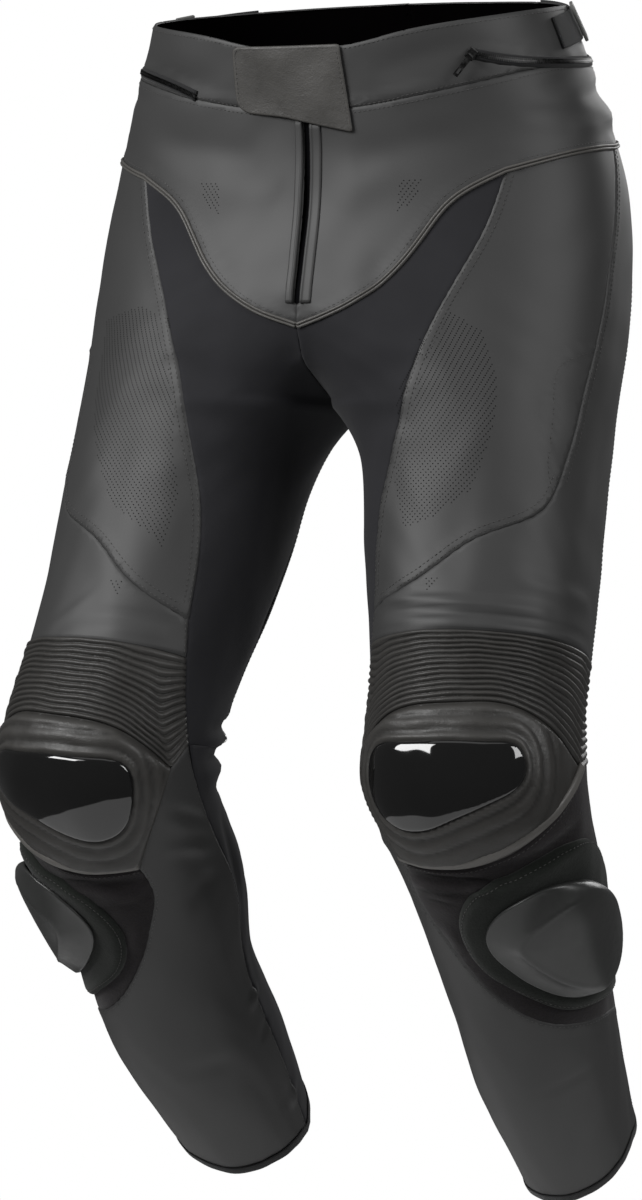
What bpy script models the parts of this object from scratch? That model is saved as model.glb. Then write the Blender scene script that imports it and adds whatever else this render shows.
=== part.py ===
"""Motorcycle trousers in leather and stretch cloth, worn shape, pre-bent legs, cut off above the ankle.

One tapering tube is described for the wearer's left side by a table of level sections, from the waist
to the hem, and the right side is its mirror image.  Every cut piece is a stretch of that tube between
seams.  A seam is a short row of points given by the angle round the leg (0 = front, 90 = outer side,
180 = back, -90 = inner side) and by its level, the height of the section it lies on.
Metres, +Z up, the front faces -Y and the wearer's left is +X.  The origin is in the middle of the
waist, where the wearer's waist holds the trousers up.
"""

import math
from collections import namedtuple

import bmesh
import bpy
import numpy as np
from mathutils import Matrix, Vector
from mathutils.geometry import delaunay_2d_cdt

MM = 0.001

# ---- driving dimensions -------------------------------------------------------------------------
GAP = 0.3 * MM                 # between neighbouring pieces
LAID = 0.5 * MM                # from a panel to a soft piece that lies on it
SEAT = 0.8 * MM                # from a panel to a stiffer piece that lies on it
LEATHER_WALL = 1.6 * MM
STRETCH_WALL = 1.4 * MM
BAND_WALL = 2.2 * MM           # waistband, folded double
PANEL_STEP = 24 * MM           # spacing of the points on a plain panel
LINING_STEP = 40 * MM          # and on its plain inner face
SEAM_STEP = 17 * MM

CROTCH_LEVEL = -246 * MM       # the level where the two legs part
CROTCH_RISE = 100 * MM         # height over which the crotch seam curves up to the front and back
CENTRE_CLEARANCE = 0.15 * MM   # from a piece's edge to the middle plane

# Millimetres round the leg for one degree, where a piece is laid out flat
LEG_SCALE, KNEE_SCALE, SLIDER_SCALE, WAIST_SCALE, HIP_SCALE = 1.6, 1.45, 1.35, 1.95, 3.0

Section = namedtuple("Section", "level centre_x centre_y outer inner front back squareness pitch yaw")
SECTIONS = [  # millimetres and degrees; pitch raises the back edge, yaw turns the front outwards
    Section(50, 0, -12, 175, 175, 113, 109, 2.35, 13, 0),       # waistband
    Section(-25, 0, 0, 200, 200, 115, 121, 2.35, 10, 0),        # below the waistband
    Section(-100, 14, 0, 203, 203, 120, 138, 2.35, 5, 1),       # hip
    Section(-175, 56, -16, 166, 166, 118, 140, 2.30, 0, 3),     # seat
    Section(-260, 116, -41, 105, 106, 103, 108, 2.30, -6, 5),   # top of the leg
    Section(-340, 132, -71, 92, 92, 91, 92, 2.25, -14, 7),      # mid thigh
    Section(-420, 143, -103, 87, 87, 84, 84, 2.20, -18, 9),     # above the knee
    Section(-480, 152, -133, 82, 82, 82, 82, 2.20, -14, 10),    # ribs
    Section(-540, 157, -145, 84, 84, 82, 82, 2.20, 0, 11),      # knee
    Section(-595, 159, -106, 76, 76, 81, 81, 2.20, 14, 12),     # below the knee
    Section(-650, 156, -63, 69, 69, 74, 74, 2.20, 28, 12),      # slider
    Section(-720, 158, -24, 62, 62, 72, 72, 2.20, 35, 12),      # calf
    Section(-785, 153, 29, 57, 57, 69, 69, 2.20, 36, 12),       # shin
    Section(-840, 151, 80, 51, 51, 62, 62, 2.20, 36, 12),       # above the hem
]

FLY_SLIT = 5.4 * MM            # width of the open slit
FLY_TOP, FLY_BOTTOM = 5, -165  # levels of its ends, in millimetres
YOKE_TIP = -185                # level of the yoke's point at the centre front
BACK_FORK = -200               # level where the stretch panels' point meets the back pieces

# Junctions of the seams: angle, level
JUNCTIONS = {
    "rim_front": (0, 57), "rim_back": (180, 57),
    "waist_side": (106, 14), "waist_back": (180, 8),
    "yoke_inner": (60, -52), "yoke_outer": (95, -46), "yoke_side": (106, -47),
    "thigh_outer": (51, -313), "thigh_inner": (-57, -420),
    "ribs_top_inner": (-64, -443), "ribs_top_outer": (106, -443),
    "ribs_low_inner": (-84, -500), "ribs_low_outer": (104, -519),
    "cup_inner": (-72, -517), "cup_outer": (81, -525),
    "patch_inner": (-43, -583), "patch_outer": (104, -735),
    "hollow_inner": (232, -500),
    "hem_inner": (-110, -871), "hem_outer": (104, -840),
}

# Seams: from a junction, through these points, to a junction.
SEAMS = {
    "rim": ("rim_front", [(20, 58), (38, 66), (55, 70), (75, 69), (105, 61), (140, 57)], "rim_back"),
    "waist_front": ("fly_corner", [(20, 7), (36, 12), (55, 20), (76, 26)], "waist_side"),
    "waist_rear": ("waist_side", [(140, 9)], "waist_back"),
    "yoke_curve": ("yoke_tip", [(-14, -173), (0, -161), (12, -148), (26, -126), (37, -100), (48, -71)],
                   "yoke_inner"),
    "yoke_edge": ("yoke_inner", [(77, -43)], "yoke_outer"),
    "yoke_end": ("yoke_outer", [], "yoke_side"),
    "side_top": ("waist_side", [], "yoke_side"),
    "inner_thigh": ("yoke_inner", [(51, -103), (37, -147), (16, -192), (-13, -247), (-30, -293),
                                   (-44, -345)], "thigh_inner"),
    "inner_low": ("thigh_inner", [], "ribs_top_inner"),
    "inner_ribs": ("ribs_top_inner", [], "ribs_low_inner"),
    "inner_shin": ("ribs_low_inner", [(-95, -540), (-103, -590), (-108, -640), (-110, -720)], "hem_inner"),
    "outer_thigh": ("yoke_outer", [(84, -123), (76, -189), (64, -248)], "thigh_outer"),
    "thigh_slant": ("thigh_outer", [(43, -340), (10, -370), (-18, -399), (-40, -413)], "thigh_inner"),
    "side_back": ("yoke_side", [(109, -150), (110, -300)], "ribs_top_outer"),
    "ribs_top": ("ribs_top_inner", [(-21, -441), (22, -441), (60, -441)], "ribs_top_outer"),
    "ribs_side": ("ribs_top_outer", [], "ribs_low_outer"),
    "ribs_corner": ("ribs_low_inner", [], "cup_inner"),
    "ribs_low": ("cup_inner", [(-40, -494), (0, -488), (28, -488), (49, -497), (67, -512)],
                 "cup_outer"),
    "ribs_tail": ("cup_outer", [], "ribs_low_outer"),
    "cup_left": ("cup_inner", [(-61, -549)], "patch_inner"),
    "cup_low": ("patch_inner", [(-12, -583), (10, -578), (34, -566), (66, -542)], "cup_outer"),
    "patch_low": ("patch_inner", [(-45, -602), (-38, -618), (-28, -636), (-14, -657), (0, -674),
                                  (18, -688), (42, -700), (70, -714)], "patch_outer"),
    "patch_side": ("ribs_low_outer", [(105, -620)], "patch_outer"),
    "shin_side": ("patch_outer", [], "hem_outer"),
    "hollow_outer": ("ribs_low_outer", [(150, -499), (190, -497)], "hollow_inner"),
    "hollow_end": ("hollow_inner", [], "ribs_low_inner"),
    "back_inner": ("back_fork", [(228, -250), (236, -310), (237, -400)], "hollow_inner"),
    "hem_front": ("hem_inner", [(-90, -869), (-45, -863), (0, -851), (45, -838), (80, -837)], "hem_outer"),
    "hem_rear": ("hem_outer", [(140, -843), (200, -855)], "hem_inner"),
}

Panel = namedtuple("Panel", "seams wall material")
PANELS = {
    "waistband": Panel(["rim", "back_band", "waist_rear", "waist_front", "front_band"], BAND_WALL,
                       "leather"),
    "front_yoke": Panel(["waist_front", "side_top", "yoke_end", "yoke_edge", "yoke_curve", "fly_edge"],
                        LEATHER_WALL, "leather"),
    "inner_stretch": Panel(["yoke_curve", "inner_thigh", "inner_low", "inner_ribs", "hollow_end",
                            "back_inner", "crotch"], STRETCH_WALL, "stretch"),
    "thigh_front": Panel(["yoke_edge", "outer_thigh", "thigh_slant", "inner_thigh"], LEATHER_WALL,
                         "leather"),
    "thigh_side": Panel(["yoke_end", "side_back", "ribs_top", "inner_low", "thigh_slant", "outer_thigh"],
                        LEATHER_WALL, "leather"),
    "back_panel": Panel(["waist_rear", "centre_back", "back_inner", "hollow_outer", "ribs_side",
                         "side_back", "side_top"], LEATHER_WALL, "leather"),
    "slider_patch": Panel(["cup_low", "ribs_tail", "patch_side", "patch_low"], STRETCH_WALL, "patch"),
    "shin": Panel(["ribs_corner", "cup_left", "patch_low", "shin_side", "hem_front", "inner_shin"],
                  LEATHER_WALL, "leather"),
    "calf": Panel(["hollow_outer", "hollow_end", "inner_shin", "hem_rear", "shin_side", "patch_side"],
                  STRETCH_WALL, "stretch"),
}

# The largest folds, each a bowed ridge, or a trough where its height is below 0.  Side 1 is the
# wearer's left, -1 the right and 0 both; sizes in millimetres.
Fold = namedtuple("Fold", "side angle level to_angle to_level half_width height bow")
FOLDS = [
    Fold(0, 132, -438, 226, -452, 6.0, -2.2, 5),    # behind the knee
    Fold(0, 124, -470, 262, -487, 5.0, -2.4, 6),
    Fold(0, 118, -484, 268, -500, 5.5, 3.4, 6),
    Fold(0, 116, -500, 272, -515, 5.0, -2.6, 5),
    Fold(0, 120, -514, 262, -529, 6.0, 3.4, 5),
    Fold(1, 124, -205, 190, -226, 10.0, -2.6, 5),   # under the seat
    Fold(-1, 128, -212, 186, -222, 10.0, -2.4, 4),
    Fold(0, 118, -52, 158, -96, 13.0, -2.4, 5),     # at the hip
    Fold(1, -52, -420, 62, -428, 4.5, 2.0, -5),     # above the left knee's ribs
]
FOLD_STEP = 24                 # millimetres between the points along a fold
FOLD_FLANK = 1.8               # half widths from its crest to its flanks

# Knee: ribs, padded cup with its rolls, and the hard shell let into it.  The wearer stands with one
# knee bent further, so the knee's pieces sit a little higher on the left leg and lower on the right.
KNEE_SLIDE = {1: 4.0, -1: -12.0}        # millimetres along the leg, by side
SLIDE_ABOVE, SLIDE_BELOW = (-320, -480), (-832, -722)   # levels from none of it to all of it
PUCK_LAG = 0.45     # share of it that the knee slider, pressed on by hand, doesn't follow
RIBS = 14
RIB_HEIGHT = 1.9 * MM
RIBS_WALL = 1.6 * MM
CUP_WALL = 3.0 * MM
CUP_FADE = 6                   # millimetres over which its rolls rise from the cup's edge
CUP_ROLLS = [  # millimetres from the shell, height in millimetres
    (0, 6.0), (9, 5.2), (11, 3.6), (19, 3.2), (21, 1.8), (29, 1.4), (31, 0.6), (60, 0.2),
]
SHELL_OUTLINE = [(-49, -533), (-47, -517), (-30, -511), (0, -510), (21, -510), (34, -514), (36, -524),
                 (20, -541), (-4, -552), (-26, -559), (-42, -552)]
SHELL_THICK = 2.4 * MM
SHELL_CROWN = 2.0 * MM
SHELL_CROWN_REACH = 9          # millimetres from its edge over which it rises

# Slider: a foam pad sewn on the patch and the hard puck on it
PAD_OUTLINE = [(-18, -624), (-11, -604), (11, -588), (42, -576), (76, -574), (99, -600), (100, -660),
               (97, -708), (70, -700), (36, -685), (8, -664), (-11, -646)]
PAD_THICK = 5.0 * MM
PAD_SEAT = 1.1 * MM            # from the patch, which bends sharply under it
PAD_EDGE_DROP = 2.5 * MM       # its rounded edge falls by this
PAD_EDGE_REACH = 3             # within these millimetres
PUCK_CENTRE = (42, -633)
PUCK_REACH = (44, 42)          # half its size round the leg in degrees and along it in millimetres
PUCK_RINGS = [(1.00, 0.0), (1.03, 3.0), (1.00, 7.0), (0.90, 12.0), (0.72, 15.6), (0.40, 17.6)]
PUCK_TOP = 18.2                # height of its top
PUCK_FOOT = (0.75, 0.5, 0.25)  # rings of its underside
PUCK_SIDES = 26
PUCK_SWELL, PUCK_SWELL_AT = 0.06, 0.8   # it is an egg: fuller towards this angle, in radians
PUCK_SQUARE = 0.86             # power that squares its corners, 1 for an oval

# Waist: closure tab, fly, piping, zip round the back, hip adjusters
TAB_CORNERS = [(-29, 59, 5), (16, 59, 2), (19.5, -14, 2), (-8, 3, 40), (-28, 9, 14)]
TAB_THICK = 2.6 * MM
FLY_LEFT_STRIP = (3.3 * MM, 12.6 * MM)
FLY_RIGHT_STRIP = (3.3 * MM, 9.8 * MM)
FLY_STRIP_THICK = 1.0 * MM
UNDERLAP_HALF_WIDTH = 13 * MM
UNDERLAP_BACK = 1.1 * MM       # from the yoke's inner face
PIPING_WIDTH, PIPING_HEIGHT = 4.2 * MM, 2.0 * MM
ZIP_LEFT = [(57.5, 43), (66, 35), (80, 27), (96, 20), (140, 14)]
ZIP_RIGHT = [(220, 14), (264, 20), (284, 31), (304, 28), (316, 18)]
ZIP_TAPE_WIDTH, ZIP_TAPE_THICK, ZIP_SEAT = 9 * MM, 1.0 * MM, 0.65 * MM
HEM_BINDING_WIDTH, HEM_BINDING_OUT = 8 * MM, 0.6 * MM
STRAP_LEVELS = (34, 60)
STRAP_ANGLES = (84, 124)
STRAP_THICK = 1.6 * MM
LOOP_ANGLES = (98, 106)
LOOP_LEVELS = (31, 63)
LOOP_BAR = 2.6 * MM
LOOP_THICK = 3.0 * MM
LOOP_CLEARANCE = 0.7 * MM      # from the strap

# Zip slider and its pull: x runs along the zip, y across it, z outwards
SLIDER_SIZE = (9.0 * MM, 7.6 * MM, 2.6 * MM)
SLIDER_ROUND = 0.7 * MM
LUG_SIZE = (3.0 * MM, 1.0 * MM, 3.4 * MM)
LUG_INSET = 0.3 * MM           # from the slider's side
LUG_RISE = 1.3 * MM            # of a lug's middle over the slider
PIN_RADIUS = 0.7 * MM
PIN_LENGTH = 6.8 * MM
HINGE_HEIGHT = 2.2 * MM        # of the pull's pin over the slider
EYE_RADIUS = 1.9 * MM
EYE_CLEARANCE = 0.3 * MM
PULL_SIZE = (19.0 * MM, 4.2 * MM, 1.3 * MM)
PULL_START = 0.2 * MM          # from the pin's axis to the blade
PULL_HOLE = (5.0 * MM, 1.8 * MM, 3.0 * MM)
PULL_HOLE_AT = 14.5 * MM       # from the pin's axis to the hole's middle
SLIDER_AT = (56.5, 43)         # angle and level of the slider
PULL_TOWARDS = (51, 26)        # and of the place its pull hangs over

COLOURS = {  # red, green, blue, roughness, metallic
    "leather": (0.045, 0.044, 0.042, 0.50, 0.0),
    "stretch": (0.020, 0.020, 0.023, 0.85, 0.0),
    "patch": (0.012, 0.011, 0.013, 0.95, 0.0),
    "shell": (0.010, 0.010, 0.010, 0.08, 0.0),
    "puck": (0.030, 0.031, 0.030, 0.45, 0.0),
    "binding": (0.010, 0.010, 0.010, 0.70, 0.0),
    "metal": (0.120, 0.120, 0.120, 0.30, 1.0),
    "loop": (0.180, 0.180, 0.175, 0.40, 0.0),
}


# ---- the tube that all panels lie on --------------------------------------------------------------
class Spline:
    """A natural cubic curve through rows of values at rising knots."""

    def __init__(self, knots, rows):
        self.knots = np.asarray(knots, float)
        self.rows = np.asarray(rows, float)
        count = len(self.knots)
        gaps = np.diff(self.knots)
        system, known = np.eye(count), np.zeros_like(self.rows)
        for i in range(1, count - 1):
            system[i, i - 1 : i + 2] = gaps[i - 1], 2 * (gaps[i - 1] + gaps[i]), gaps[i]
            slopes = np.diff(self.rows[i - 1 : i + 2], axis=0) / gaps[i - 1 : i + 1, None]
            known[i] = 6 * (slopes[1] - slopes[0])
        self.bends = np.linalg.solve(system, known)

    def __call__(self, at):
        at = np.asarray(at, float)
        i = np.clip(np.searchsorted(self.knots, at) - 1, 0, len(self.knots) - 2)
        gap = (self.knots[i + 1] - self.knots[i])[..., None]
        low = (self.knots[i + 1] - at)[..., None] / gap
        high = 1 - low
        bend = (low**3 - low) * self.bends[i] + (high**3 - high) * self.bends[i + 1]
        return low * self.rows[i] + high * self.rows[i + 1] + bend * gap**2 / 6


def section_spline():
    rows = np.array(SECTIONS[::-1], float)
    rows[:, :7] *= MM
    return Spline(rows[:, 0], rows[:, 1:])


SECTION_AT = section_spline()


def tube(angle, level):
    """Points of the left side's tube, for angles in degrees and levels in metres."""
    angle, level = np.broadcast_arrays(np.asarray(angle, float), np.asarray(level, float))
    row = np.moveaxis(SECTION_AT(level), -1, 0)
    centre_x, centre_y, outer, inner, front, back, square, pitch, yaw = row
    rise = np.clip((level - CROTCH_LEVEL) / CROTCH_RISE, 0, 1)
    depth = np.clip(np.sqrt(1 - (1 - rise) ** 2), 0, 0.9999)
    body_x = np.maximum(centre_x, 0)
    body = np.maximum(body_x / (1 - depth**square) ** (1 / square), outer * depth**4)
    above = level > CROTCH_LEVEL
    inner = np.where(above, body, np.minimum(inner, centre_x))
    centre_x = np.where(above, body_x, centre_x)
    sine, cosine = np.sin(np.radians(angle)), np.cos(np.radians(angle))
    wide = np.where(sine > 0, outer, np.maximum(inner, 1 * MM))
    deep = np.where(cosine > 0, front, back)
    reach = ((np.abs(sine) / wide) ** square + (np.abs(cosine) / deep) ** square) ** (-1 / square)
    across, along = reach * sine, -reach * cosine
    pitch, yaw = np.radians(pitch), np.radians(yaw)
    lift, along = along * np.sin(pitch), along * np.cos(pitch)
    x = centre_x + across * np.cos(yaw) - along * np.sin(yaw)
    y = centre_y + across * np.sin(yaw) + along * np.cos(yaw)
    return np.stack([x, y, level + lift], -1)


def outward(angle, level):
    """Unit normals of the tube."""
    turn, drop = 0.25, 0.5 * MM
    round_it = tube(np.add(angle, turn), level) - tube(np.subtract(angle, turn), level)
    up_it = tube(angle, np.add(level, drop)) - tube(angle, np.subtract(level, drop))
    normal = np.cross(round_it, up_it)
    return normal / np.linalg.norm(normal, axis=-1, keepdims=True)


def knee_slide(level, side):
    """Millimetres that a side's knee slides along the leg, at levels in millimetres."""
    fades = [np.clip((level - none) / (full - none), 0, 1) for none, full in (SLIDE_ABOVE, SLIDE_BELOW)]
    share = np.minimum(*fades)
    return KNEE_SLIDE.get(side, 0) * share**2 * (3 - 2 * share)


def surface(places, out=0.0, side=0):
    """Points on the tube at rows of (angle, level in millimetres), moved outwards."""
    places = np.asarray(places, float)
    angle, level = places[..., 0], (places[..., 1] + knee_slide(places[..., 1], side)) * MM
    points = tube(angle, level) + outward(angle, level) * np.asarray(out, float)[..., None]
    in_body = (level > CROTCH_LEVEL - 12 * MM) & (level < -30 * MM)
    points[..., 0] = np.where(in_body, np.maximum(points[..., 0], CENTRE_CLEARANCE), points[..., 0])
    return points


def angle_at(x, level, back=False):
    """The angle where the tube is x from the middle plane, at a level in millimetres."""
    low, high = (90.0, 270.0) if back else (-90.0, 90.0)
    for _ in range(40):
        middle = (low + high) / 2
        inside = tube(middle, level * MM)[0] > x
        if inside == back:
            low = middle
        else:
            high = middle
    return middle


# ---- seams and outlines ---------------------------------------------------------------------------
def evenly(places, step):
    """A dense row of places thinned to equal steps on the tube."""
    places = np.asarray(places, float)
    lengths = np.linalg.norm(np.diff(surface(places), axis=0), axis=1)
    run = np.concatenate([[0], np.cumsum(lengths)])
    count = max(1, round(run[-1] / step))
    marks = np.linspace(0, run[-1], count + 1)
    return np.stack([np.interp(marks, run, places[:, k]) for k in (0, 1)], -1)


def smooth_through(places, closed=False, count=24):
    """A dense smooth row through a few places."""
    places = np.asarray(places, float)
    if len(places) < 3:
        return places[0] + np.linspace(0, 1, count)[:, None] * (places[1] - places[0])
    ends = 2
    if closed:
        places = np.concatenate([places[-ends - 1 :], places, places[: ends + 1]])
    run = np.concatenate([[0], np.cumsum(np.linalg.norm(np.diff(places * (1.5, 1.0), axis=0), axis=1))])
    spline = Spline(run, places)
    first, last = (ends + 1, len(places) - ends - 1) if closed else (0, len(places) - 1)
    steps = np.linspace(0, 1, count, endpoint=False)
    dense = [spline(run[i] + steps * (run[i + 1] - run[i])) for i in range(first, last)]
    return np.concatenate(dense + ([] if closed else [places[-1:]]))


def centre_line(levels, x=0.0, back=False):
    return np.array([(angle_at(x, level, back), level) for level in levels])


def crotch_levels(top):
    """Levels from one end of the crotch seam down to the crotch, closer together lower down."""
    return top + (CROTCH_LEVEL / MM - top) * np.sin(np.linspace(0, math.pi / 2, 40))


def seam_rows():
    """Every seam as its row of places."""
    half = FLY_SLIT / 2
    centre = CENTRE_CLEARANCE / 2
    corner = (angle_at(half, FLY_TOP), FLY_TOP)
    ends = dict(JUNCTIONS)
    ends["fly_corner"] = corner
    ends["yoke_tip"] = (angle_at(centre, YOKE_TIP), YOKE_TIP)
    ends["back_fork"] = (angle_at(centre, BACK_FORK, back=True), BACK_FORK)
    seams = {}
    for name, (start, through, end) in SEAMS.items():
        last = np.array(ends[end], float)
        start_angle = through[-1][0] if through else ends[start][0]
        last[0] += 360 * round((start_angle - last[0]) / 360)
        seams[name] = evenly(smooth_through([ends[start], *through, last]), SEAM_STEP)
    seams["front_band"] = np.array([(0, ends["rim_front"][1]), (0, FLY_TOP), corner])
    seams["back_band"] = np.array([ends["rim_back"], ends["waist_back"]], float)
    slit = centre_line(np.linspace(FLY_TOP, FLY_BOTTOM, 12), half)
    tail = centre_line([FLY_BOTTOM - 2.5, (FLY_BOTTOM + YOKE_TIP) / 2], centre)
    seams["fly_edge"] = np.concatenate([slit, tail, [ends["yoke_tip"]]])
    back = centre_line(np.linspace(ends["waist_back"][1], BACK_FORK, 60), centre, back=True)
    seams["centre_back"] = evenly(back, SEAM_STEP)
    front_part = centre_line(crotch_levels(YOKE_TIP), centre)
    back_part = centre_line(crotch_levels(BACK_FORK), centre, back=True)[::-1] - (360, 0)
    front_part[0], back_part[-1] = ends["yoke_tip"], np.subtract(ends["back_fork"], (360, 0))
    whole = np.concatenate([evenly(front_part, SEAM_STEP), evenly(back_part, SEAM_STEP)[1:]])
    seams["crotch"] = whole
    return seams


def meets(a, b):
    return abs((a[0] - b[0] + 180) % 360 - 180) < 0.2 and abs(a[1] - b[1]) < 0.2


def outline_of(names, seams):
    """One closed outline from seams listed in order round a piece."""
    rows = [seams[name] for name in names]
    chain = rows[0]
    if not (meets(chain[-1], rows[1][0]) or meets(chain[-1], rows[1][-1])):
        chain = chain[::-1]
    for name, row in zip(names[1:], rows[1:]):
        if not meets(chain[-1], row[0]):
            row = row[::-1]
        if not meets(chain[-1], row[0]):
            raise ValueError(f"seam {name} doesn't meet the one before it")
        row = row + (360 * round((chain[-1][0] - row[0][0]) / 360), 0)
        chain = np.concatenate([chain, row[1:]])
    return turned_left(chain[:-1])


def turned_left(outline):
    """The outline running anticlockwise, seen from outside the leg."""
    a, b = outline, np.roll(outline, -1, axis=0)
    area = (a[:, 0] * b[:, 1] - b[:, 0] * a[:, 1]).sum()
    return outline if area > 0 else outline[::-1]


def metric(places):
    """Millimetres on the tube for one degree and for one unit of level, at each place."""
    angle, level = places[:, 0], places[:, 1] * MM
    per_degree = np.linalg.norm(tube(angle + 0.5, level) - tube(angle - 0.5, level), axis=1) / MM
    per_level = np.linalg.norm(tube(angle, level + MM) - tube(angle, level - MM), axis=1) / (2 * MM)
    return np.stack([per_degree, per_level], -1)


def inset(outline, distance):
    """The outline drawn in by a distance in metres."""
    scale = metric(outline)
    before = (outline - np.roll(outline, 1, axis=0)) * scale
    after = (np.roll(outline, -1, axis=0) - outline) * scale
    before /= np.linalg.norm(before, axis=1, keepdims=True)
    after /= np.linalg.norm(after, axis=1, keepdims=True)
    left = np.stack([-(before + after)[:, 1], (before + after)[:, 0]], -1)
    left /= np.maximum(np.linalg.norm(left, axis=1, keepdims=True), 1e-6)
    spread = np.maximum((left * np.stack([-before[:, 1], before[:, 0]], -1)).sum(1), 0.5)
    return outline + left * (distance / MM / spread)[:, None] / scale


def inside(points, outline):
    """Which points lie within the outline, and how far each is from it in outline units."""
    a, b = outline[None], np.roll(outline, -1, axis=0)[None]
    p = points[:, None]
    crosses = (a[..., 1] > p[..., 1]) != (b[..., 1] > p[..., 1])
    rise = np.where(b[..., 1] == a[..., 1], 1e-12, b[..., 1] - a[..., 1])
    at = a[..., 0] + (p[..., 1] - a[..., 1]) * (b[..., 0] - a[..., 0]) / rise
    within = (crosses & (p[..., 0] < at)).sum(1) % 2 == 1
    along = b - a
    t = np.clip(((p - a) * along).sum(-1) / np.maximum((along**2).sum(-1), 1e-12), 0, 1)
    away = np.linalg.norm(p - a - along * t[..., None], axis=-1).min(1)
    return within, away


def lattice(outline, step, unit):
    """Places in a net of equal steps inside an outline, clear of its edge.  unit = mm per degree."""
    flat = outline * (unit, 1)
    step = step / MM
    low, high = flat.min(0), flat.max(0)
    counts = np.maximum(np.round((high - low) / step).astype(int), 1)
    xs = np.linspace(low[0], high[0], counts[0] + 1)
    ys = np.linspace(low[1], high[1], counts[1] + 1)
    points = np.array([(x + (row % 2) * step / 2, y) for row, y in enumerate(ys) for x in xs])
    within, away = inside(points, flat)
    return points[within & (away > step * 0.45)] / (unit, 1)


def clear_of(places, taken, least):
    """The places at least this far, in metres, from those taken."""
    if not len(places):
        return places.reshape(0, 2)
    gaps = np.linalg.norm((places[:, None] - taken[None]) * (LEG_SCALE, 1), axis=-1)
    return places[gaps.min(1) > least / MM]


def triangles(outline, inner, unit):
    """Triangles over an outline and the places inside it."""
    flat = np.concatenate([outline, inner]) * (unit, 1) if len(inner) else outline * (unit, 1)
    points = [Vector((float(x), float(y))) for x, y in flat]
    made = delaunay_2d_cdt(points, [], [list(range(len(outline)))], 1, 1e-6, True)
    if len(made[0]) != len(points):
        raise ValueError("an outline crosses itself")
    origin = [ids[0] for ids in made[3]]
    return [tuple(origin[v] for v in face) for face, held in zip(made[2], made[5]) if held]


# ---- making solids --------------------------------------------------------------------------------
def material(kind):
    found = bpy.data.materials.get(kind)
    if found:
        return found
    red, green, blue, roughness, metallic = COLOURS[kind]
    made = bpy.data.materials.new(kind)
    made.use_nodes = True
    shader = made.node_tree.nodes["Principled BSDF"]
    shader.inputs["Base Color"].default_value = (red, green, blue, 1)
    shader.inputs["Roughness"].default_value = roughness
    shader.inputs["Metallic"].default_value = metallic
    return made


def add_object(name, bm, kind, parts):
    bmesh.ops.recalc_face_normals(bm, faces=bm.faces)
    mesh = bpy.data.meshes.new(name)
    bm.to_mesh(mesh)
    bm.free()
    made = bpy.data.objects.new(name, mesh)
    made.data.materials.append(material(kind))
    parts.objects.link(made)
    return made


def close_body(name, points, faces, kind, parts, side=1):
    """An object from points and faces; side -1 mirrors it to the wearer's right."""
    bm = bmesh.new()
    verts = [bm.verts.new((x * side, y, z)) for x, y, z in points]
    for face in faces:
        bm.faces.new([verts[i] for i in face])
    return add_object(name, bm, kind, parts)


def fold_frame(fold):
    """The middle of a fold, its run as a unit vector, its length and the scale round the leg."""
    middle = np.array([(fold.angle + fold.to_angle) / 2, (fold.level + fold.to_level) / 2])
    scale = metric(middle[None])[0]
    run = np.array([fold.to_angle - fold.angle, fold.to_level - fold.level]) * scale
    length = np.linalg.norm(run)
    return middle, run / length, length, scale


def fold_height(places, side):
    """Metres that the folds move each place outwards."""
    total = np.zeros(len(places))
    for fold in FOLDS:
        if fold.side == -side:
            continue
        middle, run, length, scale = fold_frame(fold)
        turn = (places[:, 0] - middle[0] + 180) % 360 - 180
        spot = np.stack([turn, places[:, 1] - middle[1]], -1) * scale
        along = (spot @ run) / (length / 2)
        off = spot @ np.array([-run[1], run[0]]) - fold.bow * (1 - along**2)
        fade = np.clip(1 - along**2, 0, 1)
        total += fold.height * MM * fade * np.exp(-((off / fold.half_width) ** 2))
    return total


def fold_net(outline, side):
    """Places along the crest and the flanks of each fold that crosses a panel."""
    made = []
    for fold in FOLDS:
        if fold.side == -side:
            continue
        middle, run, length, scale = fold_frame(fold)
        across = np.array([-run[1], run[0]])
        count = max(2, round(length / FOLD_STEP))
        for flank in (0, -FOLD_FLANK, FOLD_FLANK):
            for along in np.linspace(-1, 1, count + 1):
                off = fold.bow * (1 - along**2) + flank * fold.half_width
                place = middle + (run * along * length / 2 + across * off) / scale
                place[0] += 360 * round((outline[:, 0].mean() - place[0]) / 360)
                near = [np.linalg.norm((place - other) * scale) for other in made]
                if min(near, default=99) > 0.9 * fold.half_width:
                    made.append(place)
    net = np.array(made)
    within, away = inside(net * (LEG_SCALE, 1), outline * (LEG_SCALE, 1))
    return net[within & (away > 4)]


def wall(name, side, outline, kind, parts, thick, base=0.0, relief=None, step=PANEL_STEP,
         lining=LINING_STEP, unit=LEG_SCALE, net=None, folded=False):
    """A wall over an outline on the tube, from base outwards; relief raises its outer points."""
    net = lattice(outline, step, unit) if net is None else net
    plain = lattice(outline, lining, unit)
    folds = fold_net(outline, side) if folded else []
    if len(folds):
        net = np.concatenate([folds, clear_of(net, folds, step / 2)])
        plain = np.concatenate([folds, clear_of(plain, folds, step / 2)])
    raise_by = relief or (lambda places: np.zeros(len(places)))
    outer = np.concatenate([outline, net]) if len(net) else outline
    inner = np.concatenate([outline, plain]) if len(plain) else outline
    raised = base + thick + raise_by(outer) + fold_height(outer, side)
    points = np.concatenate([surface(outer, raised, side),
                             surface(inner, base + fold_height(inner, side), side)])
    shift = len(outer)
    faces = triangles(outline, net, unit)
    faces += [tuple(i + shift for i in face[::-1]) for face in triangles(outline, plain, unit)]
    count = len(outline)
    faces += [(i, (i + 1) % count, (i + 1) % count + shift, i + shift) for i in range(count)]
    return close_body(name, points, faces, kind, parts, side)


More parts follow.
